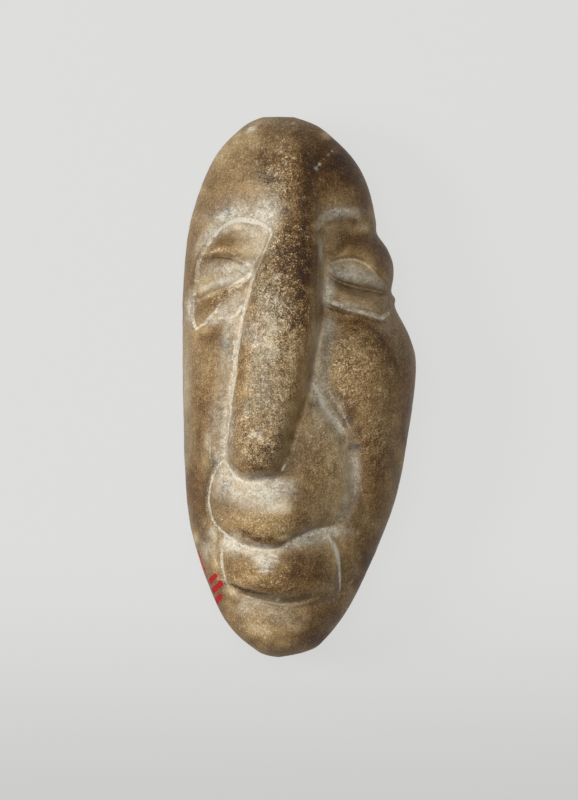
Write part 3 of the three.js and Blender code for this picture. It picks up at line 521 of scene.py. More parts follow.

# Light chipped grains along the worn crests, and painted highlight streaks across the middle of
# the nose
SPARK_AND_HIGHLIGHT_LINES = (
    ((-11.8, 17.7, 0.29, 0.27, 0.8), (-11, 18.1, 0.33, 0.27, 1), (-10.1, 18.2, 0.33, 0.29, 1.1),
     (-9.1, 17.9, 0.33, 0.33, 1), (-8.2, 17.3, 0.33, 0.33, 0.9), (-7.4, 16.6, 0.27, 0.27, 0.7),
     (-6.9, 16.1, 0.2, 0.2, 0.5)),
    ((-7, 14, 0.33, 0.27, 0.6), (-8.3, 13.3, 0.4, 0.4, 0.9), (-9.5, 12.7, 0.4, 0.53, 1),
     (-10.7, 11.9, 0.33, 0.53, 0.9), (-11.8, 11.1, 0.27, 0.4, 0.6)),
    ((-5, 12.8, 0.67, 0.67, 0.5), (-3.2, 10.8, 1.07, 1.07, 0.55), (-2.1, 8.6, 1.07, 1.07, 0.55),
     (-3.2, 5.5, 0.93, 0.93, 0.4)),
    ((-6.9, -6.1, 0.67, 0.67, 0.6), (-5.3, -6.7, 0.93, 0.8, 0.9), (-3.7, -7.8, 0.8, 0.8, 0.6)),
    ((-5, 18.1, 0.4, 0.4, 0.2), (-3.3, 18.7, 0.8, 0.8, 0.5), (-1.6, 20.1, 0.8, 0.8, 0.4)),
    ((-2.9, 29.7, 0.2, 0.2, 0.8), (-2.1, 30.3, 0.23, 0.23, 1.1), (-1.2, 30.5, 0.23, 0.23, 1.1),
     (-0.4, 29.9, 0.2, 0.2, 0.8)),
    ((-2.4, 27.8, 0.2, 0.2, 0.8), (-2, 28.7, 0.21, 0.21, 1), (-1.3, 28.7, 0.21, 0.21, 1),
     (-1.2, 27.8, 0.2, 0.2, 0.8)),
    ((-5, 29, 0.19, 0.19, 0.6), (-4.2, 28.3, 0.21, 0.21, 0.9), (-3.2, 27.9, 0.2, 0.2, 0.7)),
    ((-6.5, 5.4, 0.16, 0.16, 0.5), (-5.7, 5.5, 0.23, 0.23, 1.2), (-4.9, 5.6, 0.17, 0.17, 0.6)),
    ((-4.2, 5.3, 0.15, 0.15, 0.4), (-3.4, 5, 0.19, 0.19, 0.9), (-2.8, 4.8, 0.15, 0.15, 0.4)),
)

# Darker lines in the creases and along the edges they cut
SHADE_LINES = (
    ((-12.5, 17.1, 0.2, 0.2, 0.29), (-11.1, 17.2, 0.29, 0.29, 0.53), (-9.8, 17.1, 0.29, 0.29, 0.59),
     (-8.6, 16.8, 0.29, 0.29, 0.53), (-7.5, 16.1, 0.2, 0.2, 0.29)),
    ((2.6, 20.6, 0.2, 0.33, 0.15), (3.3, 21.5, 0.2, 0.53, 0.25), (4.4, 22.3, 0.2, 0.53, 0.3),
     (5.7, 22.5, 0.2, 0.53, 0.3), (6.9, 22.2, 0.2, 0.53, 0.25), (8.1, 21.3, 0.2, 0.53, 0.2)),
    ((3.6, 15, 0.11, 0.15, 0.37), (4.1, 14.4, 0.11, 0.19, 0.5), (5.1, 13.7, 0.11, 0.19, 0.52),
     (6.3, 13.3, 0.11, 0.19, 0.52), (7.9, 12.9, 0.11, 0.19, 0.52), (9.7, 12.6, 0.11, 0.19, 0.5),
     (11, 12.3, 0.11, 0.17, 0.42), (12.1, 12.2, 0.09, 0.13, 0.26)),
    ((2.9, 10.8, 0.13, 0.27, 0.7), (4.2, 10.3, 0.13, 0.33, 0.7), (5.9, 9.8, 0.13, 0.33, 0.5),
     (7.9, 9.4, 0.13, 0.33, 0.5), (9.9, 8.7, 0.13, 0.33, 0.5), (11.5, 8.7, 0.13, 0.33, 0.3)),
    ((-9.5, -19.1, 0.4, 0.13, 0.1), (-7.9, -20.2, 0.53, 0.13, 0.18), (-6.1, -20.9, 0.6, 0.16, 0.23),
     (-4.2, -21, 0.6, 0.2, 0.24), (-2.7, -20.6, 0.6, 0.2, 0.23), (-1.1, -19.9, 0.53, 0.13, 0.18),
     (0.5, -19.1, 0.53, 0.13, 0.13), (2.1, -18.5, 0.4, 0.13, 0.08)),
    ((-9.2, -26.4, 0.2, 0.2, 0.16), (-8, -26.8, 0.47, 0.53, 0.26), (-6.4, -27.4, 0.6, 0.6, 0.29),
     (-4.8, -27.9, 0.67, 0.6, 0.3), (-3.1, -28.2, 0.73, 0.6, 0.3), (-1.3, -28.1, 0.8, 0.67, 0.26),
     (0.4, -27.8, 0.8, 0.67, 0.16), (2.2, -27.2, 0.53, 0.53, 0.08)),
    ((-10.3, -9.5, 0.13, 0.27, 0.3), (-11.4, -10.5, 0.11, 0.32, 0.5), (-12, -11.9, 0.11, 0.32, 0.5),
     (-12.4, -13.5, 0.11, 0.32, 0.5), (-12.6, -15.2, 0.11, 0.32, 0.4), (-12.5, -16.8, 0.11, 0.32, 0.3)),
    ((3.6, -1.3, 0.16, 0.2, 0.3), (4.7, -2.9, 0.16, 0.2, 0.5), (5.7, -4.5, 0.16, 0.2, 0.4)),
    ((-9.4, -8.6, 0.16, 0.11, 0.24), (-9.1, -9.7, 0.21, 0.11, 0.4), (-8.3, -10.7, 0.27, 0.11, 0.48),
     (-7.3, -11.4, 0.27, 0.11, 0.48), (-6, -11.7, 0.27, 0.11, 0.48), (-4.5, -11.7, 0.27, 0.11, 0.19),
     (-3.2, -11.2, 0.27, 0.11, 0.16), (-2.3, -10.4, 0.21, 0.11, 0.13)),
    ((-0.1, 34.4, 1.07, 0.4, 0.09), (0.4, 31.7, 1.47, 0.67, 0.17), (0.7, 28.5, 1.6, 0.8, 0.18),
     (0.6, 25, 1.2, 0.8, 0.19), (0.5, 21.4, 0.8, 0.53, 0.18)),
    ((9.4, 16, 0.2, 0.11, 0.4), (10.4, 14.9, 0.24, 0.11, 0.6), (11.3, 14, 0.24, 0.11, 0.6),
     (12.2, 13.1, 0.2, 0.11, 0.4)),
    ((-12.7, 18.8, 0.27, 0.27, 0.2), (-13.4, 17.6, 0.27, 0.27, 0.5), (-13.8, 16.2, 0.24, 0.24, 0.5),
     (-14.1, 14.6, 0.24, 0.24, 0.4), (-14.1, 12.9, 0.24, 0.24, 0.2)),
    ((2.1, 25.3, 0.4, 0.4, 0.12), (2.2, 23.1, 0.4, 0.4, 0.3), (2.2, 20.1, 0.33, 0.33, 0.3),
     (2.1, 17, 0.33, 0.33, 0.24), (2.1, 12.8, 0.33, 0.33, 0.24), (2, 8.8, 0.33, 0.33, 0.18)),
    ((4.6, 9.1, 0.53, 0.64, 0.19), (6.6, 8.8, 0.75, 0.75, 0.38), (8.7, 8.3, 0.75, 0.75, 0.45),
     (10.3, 7, 0.64, 0.75, 0.45), (11.5, 5.4, 0.64, 0.64, 0.41), (12.4, 3.7, 0.53, 0.64, 0.34),
     (13.1, 1.7, 0.43, 0.53, 0.15)),
    ((4.1, 14.9, 0.16, 0.16, 0.2), (5.4, 15.7, 0.19, 0.19, 0.45), (6.9, 16.3, 0.16, 0.16, 0.2)),
    ((6.1, 13.9, 0.16, 0.16, 0.2), (7.7, 14.4, 0.2, 0.2, 0.4), (9.4, 14.8, 0.16, 0.16, 0.2)),
    ((8.2, 13.4, 0.16, 0.16, 0.2), (9.7, 13.6, 0.19, 0.19, 0.35), (11.1, 13.3, 0.16, 0.16, 0.2)),
    ((-9.2, -26.1, 0.13, 0.13, 0.3), (-8.2, -26.5, 0.19, 0.19, 1), (-6.9, -27, 0.19, 0.19, 1),
     (-5.6, -27.3, 0.16, 0.16, 0.8), (-4, -27.5, 0.13, 0.13, 0.3)),
)

# Dark crust, mostly on the bridge and tip of the nose; along the undersides of the lips the dark
# is partly painted shade
CRUST_AND_SHADE_PATCHES = (
    (-1.7, 19.4, 2, 3.3, 0.55), (-1.3, 15.7, 2.8, 2.8, 0.62), (-0.5, 9.9, 1.8, 3, 0.7),
    (-4.4, 27, 1.5, 1, 0.4), (-2.1, 24.1, 0.9, 1.7, 0.35), (-4.4, 30.5, 2.4, 1.6, 0.25),
    (-1.9, 4.9, 0.6, 0.6, 0.5), (-6.6, -7.9, 1, 0.7, 0.4), (0, -17.6, 2, 1, 0.42, 28),
    (2, -2.4, 1, 0.6, 0.7, 30), (2, -0.8, 0.5, 0.8, 0.5), (2.9, 9.9, 0.5, 1, 0.5),
    (-6.4, 21.3, 0.2, 0.2, 1.3), (7.1, -13.2, 0.2, 0.6, 0.6), (-7.1, -19.4, 2.2, 0.6, 0.65, -20),
    (-5, -20.2, 2, 0.5, 0.65), (-4.8, -27.3, 1.4, 0.3, 0.7, -8), (-2.3, -27.5, 1.4, 0.3, 0.5),
    (0, 33.9, 1.5, 0.9, 0.3), (0.4, 19.4, 0.8, 3, 0.4), (0.6, 13.5, 0.8, 4, 0.45),
    (-2.7, 12.4, 2.6, 2, 0.45), (-5, 29.9, 2, 1.2, 0.4), (-4.6, 27.7, 2.4, 1, 0.45, -20),
    (-4.8, 31.4, 0.6, 1.6, 0.5), (-2.9, 7.5, 1.4, 1.4, 0.25), (-3.3, 10.7, 0.5, 0.4, 0.7),
    (-2.8, 9.2, 0.5, 0.3, 0.8, -25), (-0.9, 8.6, 0.8, 0.9, 0.4), (-1.3, 5.1, 0.8, 0.3, 0.55),
    (-4.6, 15.7, 0.8, 0.5, 0.5), (-3.6, 12.8, 0.6, 0.4, 0.5), (-0.3, 6.2, 0.5, 0.8, 0.4),
    (-11, -15.4, 0.5, 0.5, 0.4), (-2.8, -19.4, 1.6, 0.6, 0.2, 25), (7, -7.9, 0.8, 0.7, 1.1),
    (4.9, -1.9, 0.2, 0.9, 0.6, 22), (1.6, -2.4, 0.5, 0.5, 0.5), (-8.5, -26.4, 1, 0.3, 1.1, -20),
    (-6.9, -26.9, 1.3, 0.3, 1, -12), (-9.8, -26, 0.5, 0.3, 0.8, -30),
    (-3.7, -8.6, 1.8, 1.2, 0.3, 20),
)

# Patches where the stone is lighter than round them or, below 0, darker. Some are the stone's own
# tone and some are painted light and shade: painted highlights on the nose, lips and chin, painted
# shade on facets that face down or away from the key light, and painted light that lifts the real
# shadow under the nose tip
TONE_AND_PAINTED_LIGHT_PATCHES = (
    (1.8, 29, 2.4, 5, -0.18), (0.8, 22.7, 1.4, 6, -0.12), (-1.6, 34.4, 4, 1.5, -0.1),
    (-6.9, 29.3, 3, 1.4, -0.04), (-6.6, 26.1, 2.8, 2, 0.04), (-11.2, 31.6, 2, 2, 0.07, 40),
    (-10.1, 19, 1.8, 1.2, -0.12, 25), (-7, 18.8, 1.4, 2, 0.1), (-12.5, 16.6, 1.4, 1.2, -0.1),
    (-12.2, 10.6, 1.8, 1, -0.11, 35), (-11.4, 6.7, 1.8, 1.2, -0.1, 25),
    (-14.6, 14.2, 0.8, 9, -0.07), (0.5, 15.4, 1, 6, -0.14), (-15.2, -1.7, 0.8, 8, 0.06),
    (-12.5, -5.7, 1.2, 5, -0.05), (-13.5, -2.4, 0.9, 5.5, -0.06),
    (-14.1, -14.3, 1.3, 5.5, -0.24, 8), (-4.8, 4.9, 1.8, 2.6, 0.12), (-1.1, 3.3, 0.8, 3.6, 0.14),
    (-5, -9, 2.6, 1.4, 0.04), (0.2, 7.5, 0.9, 8, -0.04, -4), (7.7, 19.1, 3.6, 0.9, -0.17, -8),
    (4.9, 18.1, 1.5, 0.7, -0.12, 40), (11.1, 17.2, 1.1, 2.2, -0.1, 25), (5.9, 22.9, 3.6, 1, 0.06),
    (6.3, 21.3, 2.6, 0.8, -0.06), (5.9, 8.8, 3.6, 0.9, -0.1, -8), (8.2, 2.5, 2.6, 3.2, 0.06),
    (5.9, -1.7, 1.2, 2.4, -0.07), (14.2, 0.3, 1.1, 7.5, -0.1), (10.3, -14.3, 2.2, 6, -0.09, 15),
    (6.9, -11, 1, 2.6, 0.16), (-5, -18.2, 4, 1.4, 0.14), (0, -15.6, 1.6, 1.6, 0.02),
    (-6.9, -24.2, 2.2, 1.6, 0.04), (0.4, -24.2, 3.4, 2.8, -0.17), (-4.2, -22.9, 3, 1.4, 0.05),
    (0, -28.1, 2.2, 0.8, -0.08, 5), (2.9, -30.7, 3.2, 4.4, -0.1, -35),
    (-1.1, -33.9, 4, 1.4, -0.1, 20), (-6.7, -34.3, 2, 0.8, -0.06, -30),
    (-10.9, -28.3, 1, 2.4, -0.08, 30), (-10.3, -21.3, 1.4, 2, 0.08),
    (-10.9, -31.7, 1.4, 2.4, -0.06, 30), (5.3, -20.9, 1.4, 2.4, 0.06), (-6, -16, 4.4, 1.9, 0.12),
    (-3.3, 8.2, 1.6, 1.2, 0.08), (-6, -31.6, 4, 2, 0.02, -8), (4.8, -21.9, 1, 2, 0.12),
    (-2, 26.7, 2.4, 4, -0.16), (-5.6, -2.4, 2.2, 6, 0.02, 5), (7.3, 11.2, 3.8, 0.9, 0.05, -15),
    (4.7, -11, 1.5, 6, 0.15), (2.9, 0.2, 1.1, 4.5, 0.2, 10), (2.4, 6.5, 1, 3, 0.13),
    (-4, -27.9, 4, 0.7, 0.12, -7), (-11.7, 12.6, 1.8, 0.7, 0.12, 25),
    (-9.5, 11.1, 1.4, 1.2, 0.08, 25), (1.8, 17.4, 0.8, 5, -0.12), (0, -13.6, 1.4, 1.6, -0.05),
    (-2.9, -15.9, 2, 1, 0.16), (-4.2, -11.5, 2.6, 0.7, -0.2), (-2.1, 16.5, 2.6, 5, -0.11),
    (0, 20.1, 1.4, 2.4, -0.1), (7.9, 16.3, 2.4, 0.5, 0.12, -18), (-5, -32.5, 2.8, 0.9, 0.16, -10),
    (2.6, -2.4, 1.6, 1.8, 0.12), (5.7, -11, 0.8, 4, 0.12, -5), (-5, 30.1, 1.6, 1, -0.1),
    (6, 30.4, 2.8, 4.2, -0.27, 30), (4.4, 27.4, 1.4, 1.6, -0.06), (10, -23.1, 1.2, 6, -0.1, 25),
    (4, -33.7, 2.4, 1.4, -0.12, 30), (-12.5, -4.4, 1, 4, -0.06), (3.3, 30.1, 2.6, 3.4, -0.14, 10),
    (-11.3, 10.4, 1.2, 1, 0.1, 20), (-5, -22.5, 2, 0.8, 0.1), (2.4, 6.2, 1, 2.6, 0.1),
    (0, 4.9, 0.9, 3, 0.09), (7.1, 11.2, 3.8, 0.8, 0.06, -15), (11.3, 8.1, 1.2, 1.2, 0.08),
    (-11.7, -15.4, 1.4, 1.2, -0.06), (5.9, 20.5, 3.4, 1, -0.06, -6), (-8, 33.1, 2.2, 1, 0.14, 40),
    (-6, 26.7, 3.2, 0.8, 0.08), (-10.9, 23.7, 2, 1.2, -0.12, 35), (-8.5, 18.1, 4, 0.9, 0.14),
    (-5, 19.7, 1.2, 2, 0.1, -10), (-3.7, 13.9, 1.8, 1.3, 0.13), (-11.8, 12.7, 1.4, 0.8, 0.17, 20),
    (-4.9, 10.9, 1.2, 1.3, 0.2), (-1.9, 10.7, 1.4, 1, 0.1), (-12.1, 9.1, 1, 0.8, 0.1),
    (-8.5, 9.1, 0.8, 0.8, 0.12), (-3.2, 7.4, 0.9, 1, 0.22), (-6.6, 6.9, 1, 1.6, -0.12),
    (-0.3, 5.8, 0.7, 1, -0.1), (-15.2, 2.5, 0.7, 4.5, 0.13), (-2.4, 1.6, 2, 2, 0.08),
    (0.8, -1.7, 0.8, 2.4, 0.1), (-2.9, -2.8, 2.4, 1, 0.07), (2.6, -4.5, 1.4, 1.4, 0.17),
    (1.3, -6.5, 1.4, 1.2, 0.1), (6.7, -3.5, 0.9, 1.8, -0.13, -20), (-6, -6.2, 1.6, 0.8, -0.1),
    (-11.1, -9.8, 0.8, 1, -0.13), (-12.5, -14.2, 0.8, 2, -0.14), (-2.4, -16, 1.2, 1, 0.1),
    (-4.5, -18.5, 4, 0.9, 0.09), (-3.2, -26.9, 2.4, 0.5, -0.16, -3), (-9, -26.6, 1, 0.8, 0.13),
    (-4.3, -32.2, 2.4, 0.7, 0.08, -5), (-1.9, -33.9, 1.6, 0.8, 0.1, 10),
    (8.8, 25.2, 1, 3, -0.14, -15), (6.6, 27.3, 1.6, 1, -0.06), (5.3, 21.2, 4, 0.6, 0.14, -3),
    (4, 19.4, 1.6, 1.2, 0.1), (3.4, 15.7, 0.7, 1.6, 0.12), (7.4, 16.1, 2, 0.8, 0.12, -15),
    (10.6, 14.2, 1.2, 0.7, 0.12, -30), (13, -12.4, 0.8, 3, -0.14, 12),
    (9.6, -25.1, 0.9, 3.4, -0.16, 25), (5.3, -30.8, 1, 1.6, -0.13, 40),
    (2.4, -33.6, 1.4, 0.8, -0.12, 30), (5, -21.7, 0.5, 1, 0.14), (-11.1, -22.9, 0.5, 1.6, 0.14),
    (-9, -15.9, 2, 1.4, -0.07), (-10.3, -15, 1.6, 2, -0.06), (-6.1, 33.5, 1, 2, 0.1),
    (-10.8, 30.7, 1, 1, 0.09, 40), (-2.9, 27.9, 1.3, 0.8, 0.11), (8.2, 21.2, 1, 0.8, 0.14),
    (2.1, 22.1, 0.5, 2, 0.1), (-12.7, 13.9, 0.9, 1, 0.1), (-6.9, 12.8, 0.6, 0.8, 0.12),
    (-1.9, 12.4, 1, 0.8, 0.13), (-0.3, 10.4, 1.2, 1.4, 0.08), (0, 9.2, 1, 0.7, 0.1),
    (-13.8, 6.6, 0.7, 2.6, 0.1), (-9.8, 3, 0.8, 1.6, 0.1), (-7, -1.1, 0.8, 2.6, 0.09),
    (2.1, 3.4, 0.7, 1.2, 0.1), (10.6, -0.1, 1, 1.4, 0.07), (4.9, 5.8, 0.8, 0.8, -0.08),
    (-1.9, -5.2, 1.8, 0.8, 0.09), (5, -6.2, 1, 0.8, 0.15, 30), (6.2, -7.9, 0.6, 0.8, 0.1),
    (7.7, -6.2, 0.6, 0.9, -0.09), (-9.7, -7.9, 0.6, 0.8, -0.09), (4.9, -11.4, 0.8, 0.9, -0.13),
    (-14.6, -9.6, 1, 1.1, 0.1), (-5, -11.2, 3, 0.7, -0.2), (-8.5, -12.8, 1.3, 1, 0.12),
    (-11.4, -13.1, 0.5, 0.9, -0.1), (0.8, -13.1, 0.9, 0.7, 0.1), (6.3, -14.8, 0.5, 0.9, 0.1),
    (-2.7, -20, 1.4, 0.6, 0.15, 20), (5.4, -20, 1, 0.8, -0.08), (9.9, -24.7, 0.8, 3, -0.1, 25),
    (-6.6, -25.2, 1.3, 0.7, 0.12), (-9.2, -27.2, 1, 0.6, 0.12, -30),
    (-4.8, -30.9, 3, 2.2, 0.12, -5), (-1.3, -32, 1.6, 1, 0.07), (-9.8, 11.2, 0.8, 0.8, -0.05),
    (7, -7.9, 0.7, 0.6, -0.16), (-4.2, 26.5, 2.4, 0.8, 0.13), (-7.4, 26.3, 2, 0.8, 0.05),
    (-10.9, 24.8, 1.2, 0.8, 0.08, 35), (-12.9, 9.9, 0.9, 1.5, 0.1),
    (-9.7, 12.7, 0.9, 0.6, -0.1, 20), (-4.2, 5.8, 0.8, 0.8, 0.14), (-7, 10.9, 0.5, 1, 0.1),
    (-4.5, 9.2, 0.7, 0.7, 0.12), (-9.8, 0.8, 0.8, 2, 0.09), (-9.7, -2.4, 0.6, 1.2, 0.09),
    (7.9, 15.5, 1.5, 0.8, 0.12, -35), (6.3, -3.8, 0.8, 1.6, -0.1, -20),
    (8.2, -12.1, 0.6, 2.4, -0.1, 5), (7.5, -6.2, 0.7, 0.9, -0.1), (-7, -7.9, 0.5, 0.8, 0.1),
    (-7.1, -13.1, 0.8, 0.6, 0.1), (-2.4, -16.5, 1, 0.6, 0.08), (-4, -21.8, 3, 0.5, 0.08),
    (0.9, -21.7, 0.9, 0.7, 0.1), (-2.4, -23.7, 1, 0.7, 0.07), (8.8, -26.1, 0.7, 2, -0.15, 30),
    (-3.7, -28.5, 2.8, 0.6, 0.03, -6), (-2.3, -28.6, 1.2, 0.5, -0.08), (-8.2, -31.3, 1, 1.5, -0.1),
    (10.1, -20.1, 0.6, 1, -0.08), (-12.8, 25.9, 0.8, 1.2, 0.1, 20), (-9.7, 23, 1.2, 0.7, -0.14, 25),
    (-8.2, 21.2, 1, 0.4, 0.14), (-2.5, 26.5, 1, 0.7, 0.1), (4.1, 23.1, 1, 0.5, -0.07),
    (-11.1, 11, 0.7, 0.6, -0.11), (-8.5, 7.8, 0.6, 0.8, 0.1), (4.1, 9.2, 1, 0.6, 0.11, -10),
    (7.4, 7.5, 0.9, 0.6, -0.09), (0.1, -5.4, 1, 1.2, 0.11), (-1.1, -7.9, 1, 0.8, 0.11),
    (6.1, -4.6, 0.6, 0.8, -0.12), (6.1, -7.9, 0.5, 0.6, 0.14), (-11.1, -10.5, 0.5, 1.2, -0.12),
    (-7, -13.1, 0.9, 0.6, 0.14), (7.5, -14.8, 0.5, 0.7, -0.1), (6.1, -14.8, 0.5, 0.8, 0.1),
    (4.7, -16.5, 0.8, 0.6, 0.1), (-7.2, -20, 1, 0.4, 0.14, -20), (0.9, -19.8, 0.7, 0.5, -0.1),
    (-5.8, -23.6, 0.6, 0.5, 0.1), (7.6, -26.2, 0.7, 1.6, -0.17, 35), (-6.3, -33.6, 1, 0.7, -0.1),
    (11.6, 17.7, 0.6, 1, -0.06, 25), (-4.5, 35.3, 1.8, 0.5, 0.12), (3.6, 33.5, 0.7, 0.7, 0.14),
    (4.1, 30.8, 0.8, 1.2, 0.1, 20), (-8.4, 28.2, 0.8, 0.7, 0.13), (4.9, 28.2, 0.7, 0.8, 0.12),
    (-1.7, 24.7, 0.8, 0.7, 0.1), (-7.2, 21.1, 1.6, 0.5, 0.1), (-3.1, 21.3, 0.7, 0.8, 0.13),
    (8.7, 21.2, 0.6, 0.8, 0.13), (-9.8, 19.6, 0.8, 0.6, 0.09, 30), (2.2, 19.4, 0.6, 0.8, 0.1),
    (-10.5, 17.9, 1.2, 0.6, 0.1), (-3.2, 17, 0.7, 1.4, 0.13), (9.4, 17, 1.3, 0.9, 0.09, -30),
    (-8.3, 16.1, 0.7, 0.6, 0.1), (3.6, 15.3, 0.7, 1.2, 0.12), (-1.7, 14.2, 0.8, 0.7, 0.13),
    (-7, 12.7, 0.5, 0.6, 0.18), (0.8, 12.7, 0.8, 0.8, 0.13), (-8.3, 9.2, 0.7, 0.6, 0.1),
    (-0.4, 9.2, 0.7, 0.7, 0.09), (6.1, 9.2, 0.8, 0.5, 0.14, -10), (-12.5, 7.4, 0.7, 0.6, 0.1, 20),
    (10.7, 7.4, 1.2, 0.7, 0.09, -20), (-5.8, 4.1, 0.8, 0.8, 0.09), (7.4, 4.1, 0.9, 0.8, 0.11),
    (-8.5, 2.4, 0.5, 0.8, 0.09), (1.4, 2.4, 1.1, 0.9, 0.09), (-11.1, -0.3, 0.8, 1.4, 0.1),
    (-15, -2, 0.6, 1.4, 0.1), (-1.9, -1.1, 0.7, 0.7, 0.09), (0.8, -1.1, 0.7, 0.7, 0.09),
    (-12.5, -4.5, 0.7, 0.8, 0.09), (4.7, -6.2, 0.6, 0.7, 0.09, 30), (2.1, -7.9, 0.8, 0.7, 0.09),
    (-12.5, -9.7, 0.6, 0.8, 0.13), (-8.5, -9.7, 0.6, 0.6, 0.08), (-1.9, -15.6, 0.9, 1, 0.08),
    (-7.2, -21.8, 0.7, 0.5, 0.09, -10), (-11.1, -23.5, 0.6, 0.8, 0.12),
    (-1.9, -23.4, 0.7, 0.7, 0.09), (4.8, -23.5, 0.6, 0.8, 0.1), (-5.8, -25.1, 0.8, 0.5, 0.08),
    (-8.5, -27, 0.8, 0.5, 0.06, -20), (0.8, -30.4, 0.9, 0.7, 0.09),
    (-1.6, -33.9, 1.6, 0.7, 0.08, 10), (0.8, 21.3, 0.6, 0.8, -0.11), (-5.8, 5.8, 0.8, 0.6, -0.09),
    (-8.5, -4.5, 0.5, 0.8, -0.1), (4.9, -13.1, 0.7, 0.8, -0.1), (-4.5, -23.4, 0.8, 0.5, -0.1),
    (-5.2, -6.7, 1.2, 1, 0.13), (14, -7.1, 0.8, 3, -0.06, 10), (11.4, 4.5, 1.8, 1.1, -0.07, -45),
    (10.3, 6.2, 2, 1.8, -0.11, -40), (10.7, 18.7, 1, 1.2, -0.04, 30), (2.1, -4.4, 1.2, 2, 0.03),
    (-1.9, 10.9, 0.8, 0.8, 0.12), (3.6, 14.4, 0.6, 0.7, 0.09), (8.7, 14.3, 0.7, 0.5, 0.22, -20),
    (11.4, 14.4, 0.6, 0.8, 0.1), (-5.8, 17.8, 0.7, 0.8, 0.1), (-8.5, 16.1, 0.7, 0.6, 0.18),
    (-8.3, 7.4, 0.5, 0.8, 0.1), (-3.8, 4.1, 1, 0.7, 0.11), (-3.8, 7.4, 1, 0.7, 0.09),
    (3.5, 33.5, 0.8, 0.8, 0.26), (4.8, 31.5, 0.7, 0.8, 0.16, 20), (-9.9, 31.8, 0.6, 0.8, 0.12, 30),
    (-8.4, 33.5, 0.7, 0.5, 0.1, 30), (-7.1, 0.6, 0.6, 0.8, 0.1), (-7.1, -2.7, 0.6, 0.8, 0.1),
    (-11.1, -6.2, 0.4, 0.8, 0.08), (-15.2, -10.5, 0.5, 1.6, 0.1), (-9.8, -9.8, 0.5, 0.7, 0.1),
    (6.1, -13.6, 0.5, 1.8, 0.1), (-13.8, -20.1, 0.6, 0.8, 0.24), (-7, -21.8, 0.7, 0.5, 0.16, -10),
    (-4.5, -21.7, 0.7, 0.4, 0.16), (-1.9, -20, 0.8, 0.5, 0.22), (-8.5, -26.9, 0.7, 0.5, 0.1, -20),
    (0.1, -32.1, 1.2, 0.7, 0.1, 20), (-4.5, -33.9, 0.8, 0.6, 0.08), (3.4, 26.5, 0.7, 0.8, -0.13),
    (11.5, 17.9, 0.5, 0.7, -0.08), (6.1, 2.4, 0.8, 0.8, -0.08), (-4.5, -7.9, 0.7, 0.6, -0.18),
    (7.7, -7.9, 0.4, 0.5, -0.28), (1.3, -11.6, 1.4, 0.6, -0.09), (4.7, -10.1, 0.7, 0.8, -0.09),
    (-9.8, -13.1, 0.7, 0.8, -0.38), (-12.5, -20, 0.5, 0.8, -0.1), (6.1, -18.3, 0.6, 0.6, -0.09),
    (0.1, -25.1, 1.2, 0.5, -0.07), (-9.1, 23, 1.1, 0.6, -0.16, 25), (-5, 23, 1.2, 0.8, -0.2),
    (-12.5, -8, 0.6, 0.8, 0.13), (-11, 9.2, 0.7, 0.4, 0.11, 30), (-11.1, -9.7, 0.4, 0.7, -0.12),
    (-5.4, -4.6, 1.6, 2.2, 0.05), (-12.5, 17.9, 0.6, 0.8, 0.1, 40), (7.4, 23.1, 0.8, 0.6, 0.09),
    (3.4, 29.9, 0.7, 0.8, 0.08), (-7.1, 14.4, 0.7, 0.6, 0.1), (6.1, 16.1, 1.2, 0.5, 0.07),
    (0.8, 17.8, 0.7, 0.8, 0.08), (4.7, 12.7, 0.6, 0.6, 0.1), (10.1, 12.7, 0.8, 0.6, 0.08),
    (-12.5, 2.4, 0.8, 1.8, 0.08), (-3.8, -4.5, 1.2, 0.8, 0.08), (0.8, 0.6, 0.7, 0.8, 0.08),
    (10.1, -4.5, 0.7, 0.8, 0.08), (-5.8, -4.5, 0.8, 0.7, 0.08), (-12.5, -15, 0.5, 0.8, 0.06),
    (-8.5, -16.5, 0.8, 0.7, 0.08), (-5.8, -16.5, 0.8, 0.7, 0.08), (6.1, -16.5, 0.5, 0.8, 0.08),
    (-11.1, -20, 0.4, 0.6, 0.18), (10.1, -18.3, 0.6, 0.8, 0.07), (-9.8, -28.7, 0.7, 0.7, 0.07, 30),
    (0.8, -28.6, 0.7, 0.6, 0.06), (10.1, 19.7, 0.7, 0.6, -0.1, 40), (-6.5, 7.4, 1.2, 0.6, -0.08),
    (-1.9, 6.7, 0.6, 1.2, -0.07), (10, 4.9, 0.8, 1.2, -0.08, -40), (2.1, -1.1, 0.6, 0.7, -0.08),
    (4.7, -1.1, 0.5, 0.8, -0.08, 20), (11.4, -8.4, 0.8, 2.2, -0.07, 10),
    (12.7, -9.7, 0.6, 1.2, -0.07, 10), (0.8, -20, 0.7, 0.5, -0.24), (2.8, -25.2, 1.3, 0.6, -0.06),
    (8.1, -23.5, 0.8, 0.8, -0.08), (-4, -28.6, 3, 0.5, 0.17, -6), (8.7, -4.5, 0.7, 0.8, -0.08),
    (-0.5, 33.4, 0.8, 0.6, -0.1), (11.1, 3.3, 0.8, 1.4, -0.07, -20), (-8.5, 21.3, 0.8, 0.5, 0.18),
    (-5.8, 21, 1, 0.4, 0.1), (2.2, 21.3, 0.5, 0.8, 0.09), (3.4, 21.3, 0.5, 0.6, 0.08),
    (-7.2, 23, 0.7, 0.5, 0.1), (-11.1, 14.4, 0.8, 0.5, 0.08), (-12.5, 14.4, 0.6, 0.5, 0.08),
    (-9.8, 9.2, 0.6, 0.5, 0.08), (-11.1, 7.5, 0.6, 0.6, 0.08), (-5.8, 2.4, 0.8, 0.7, 0.09),
    (-12.5, -6.2, 0.6, 1, 0.14), (-11.1, -7.9, 0.4, 0.8, 0.1), (-11.1, -13.1, 0.6, 0.8, 0.18),
    (-4.5, -13.1, 0.9, 0.6, 0.1), (-1.9, -14.8, 1, 0.6, 0.1), (-8.5, -20, 0.6, 0.5, 0.15, -20),
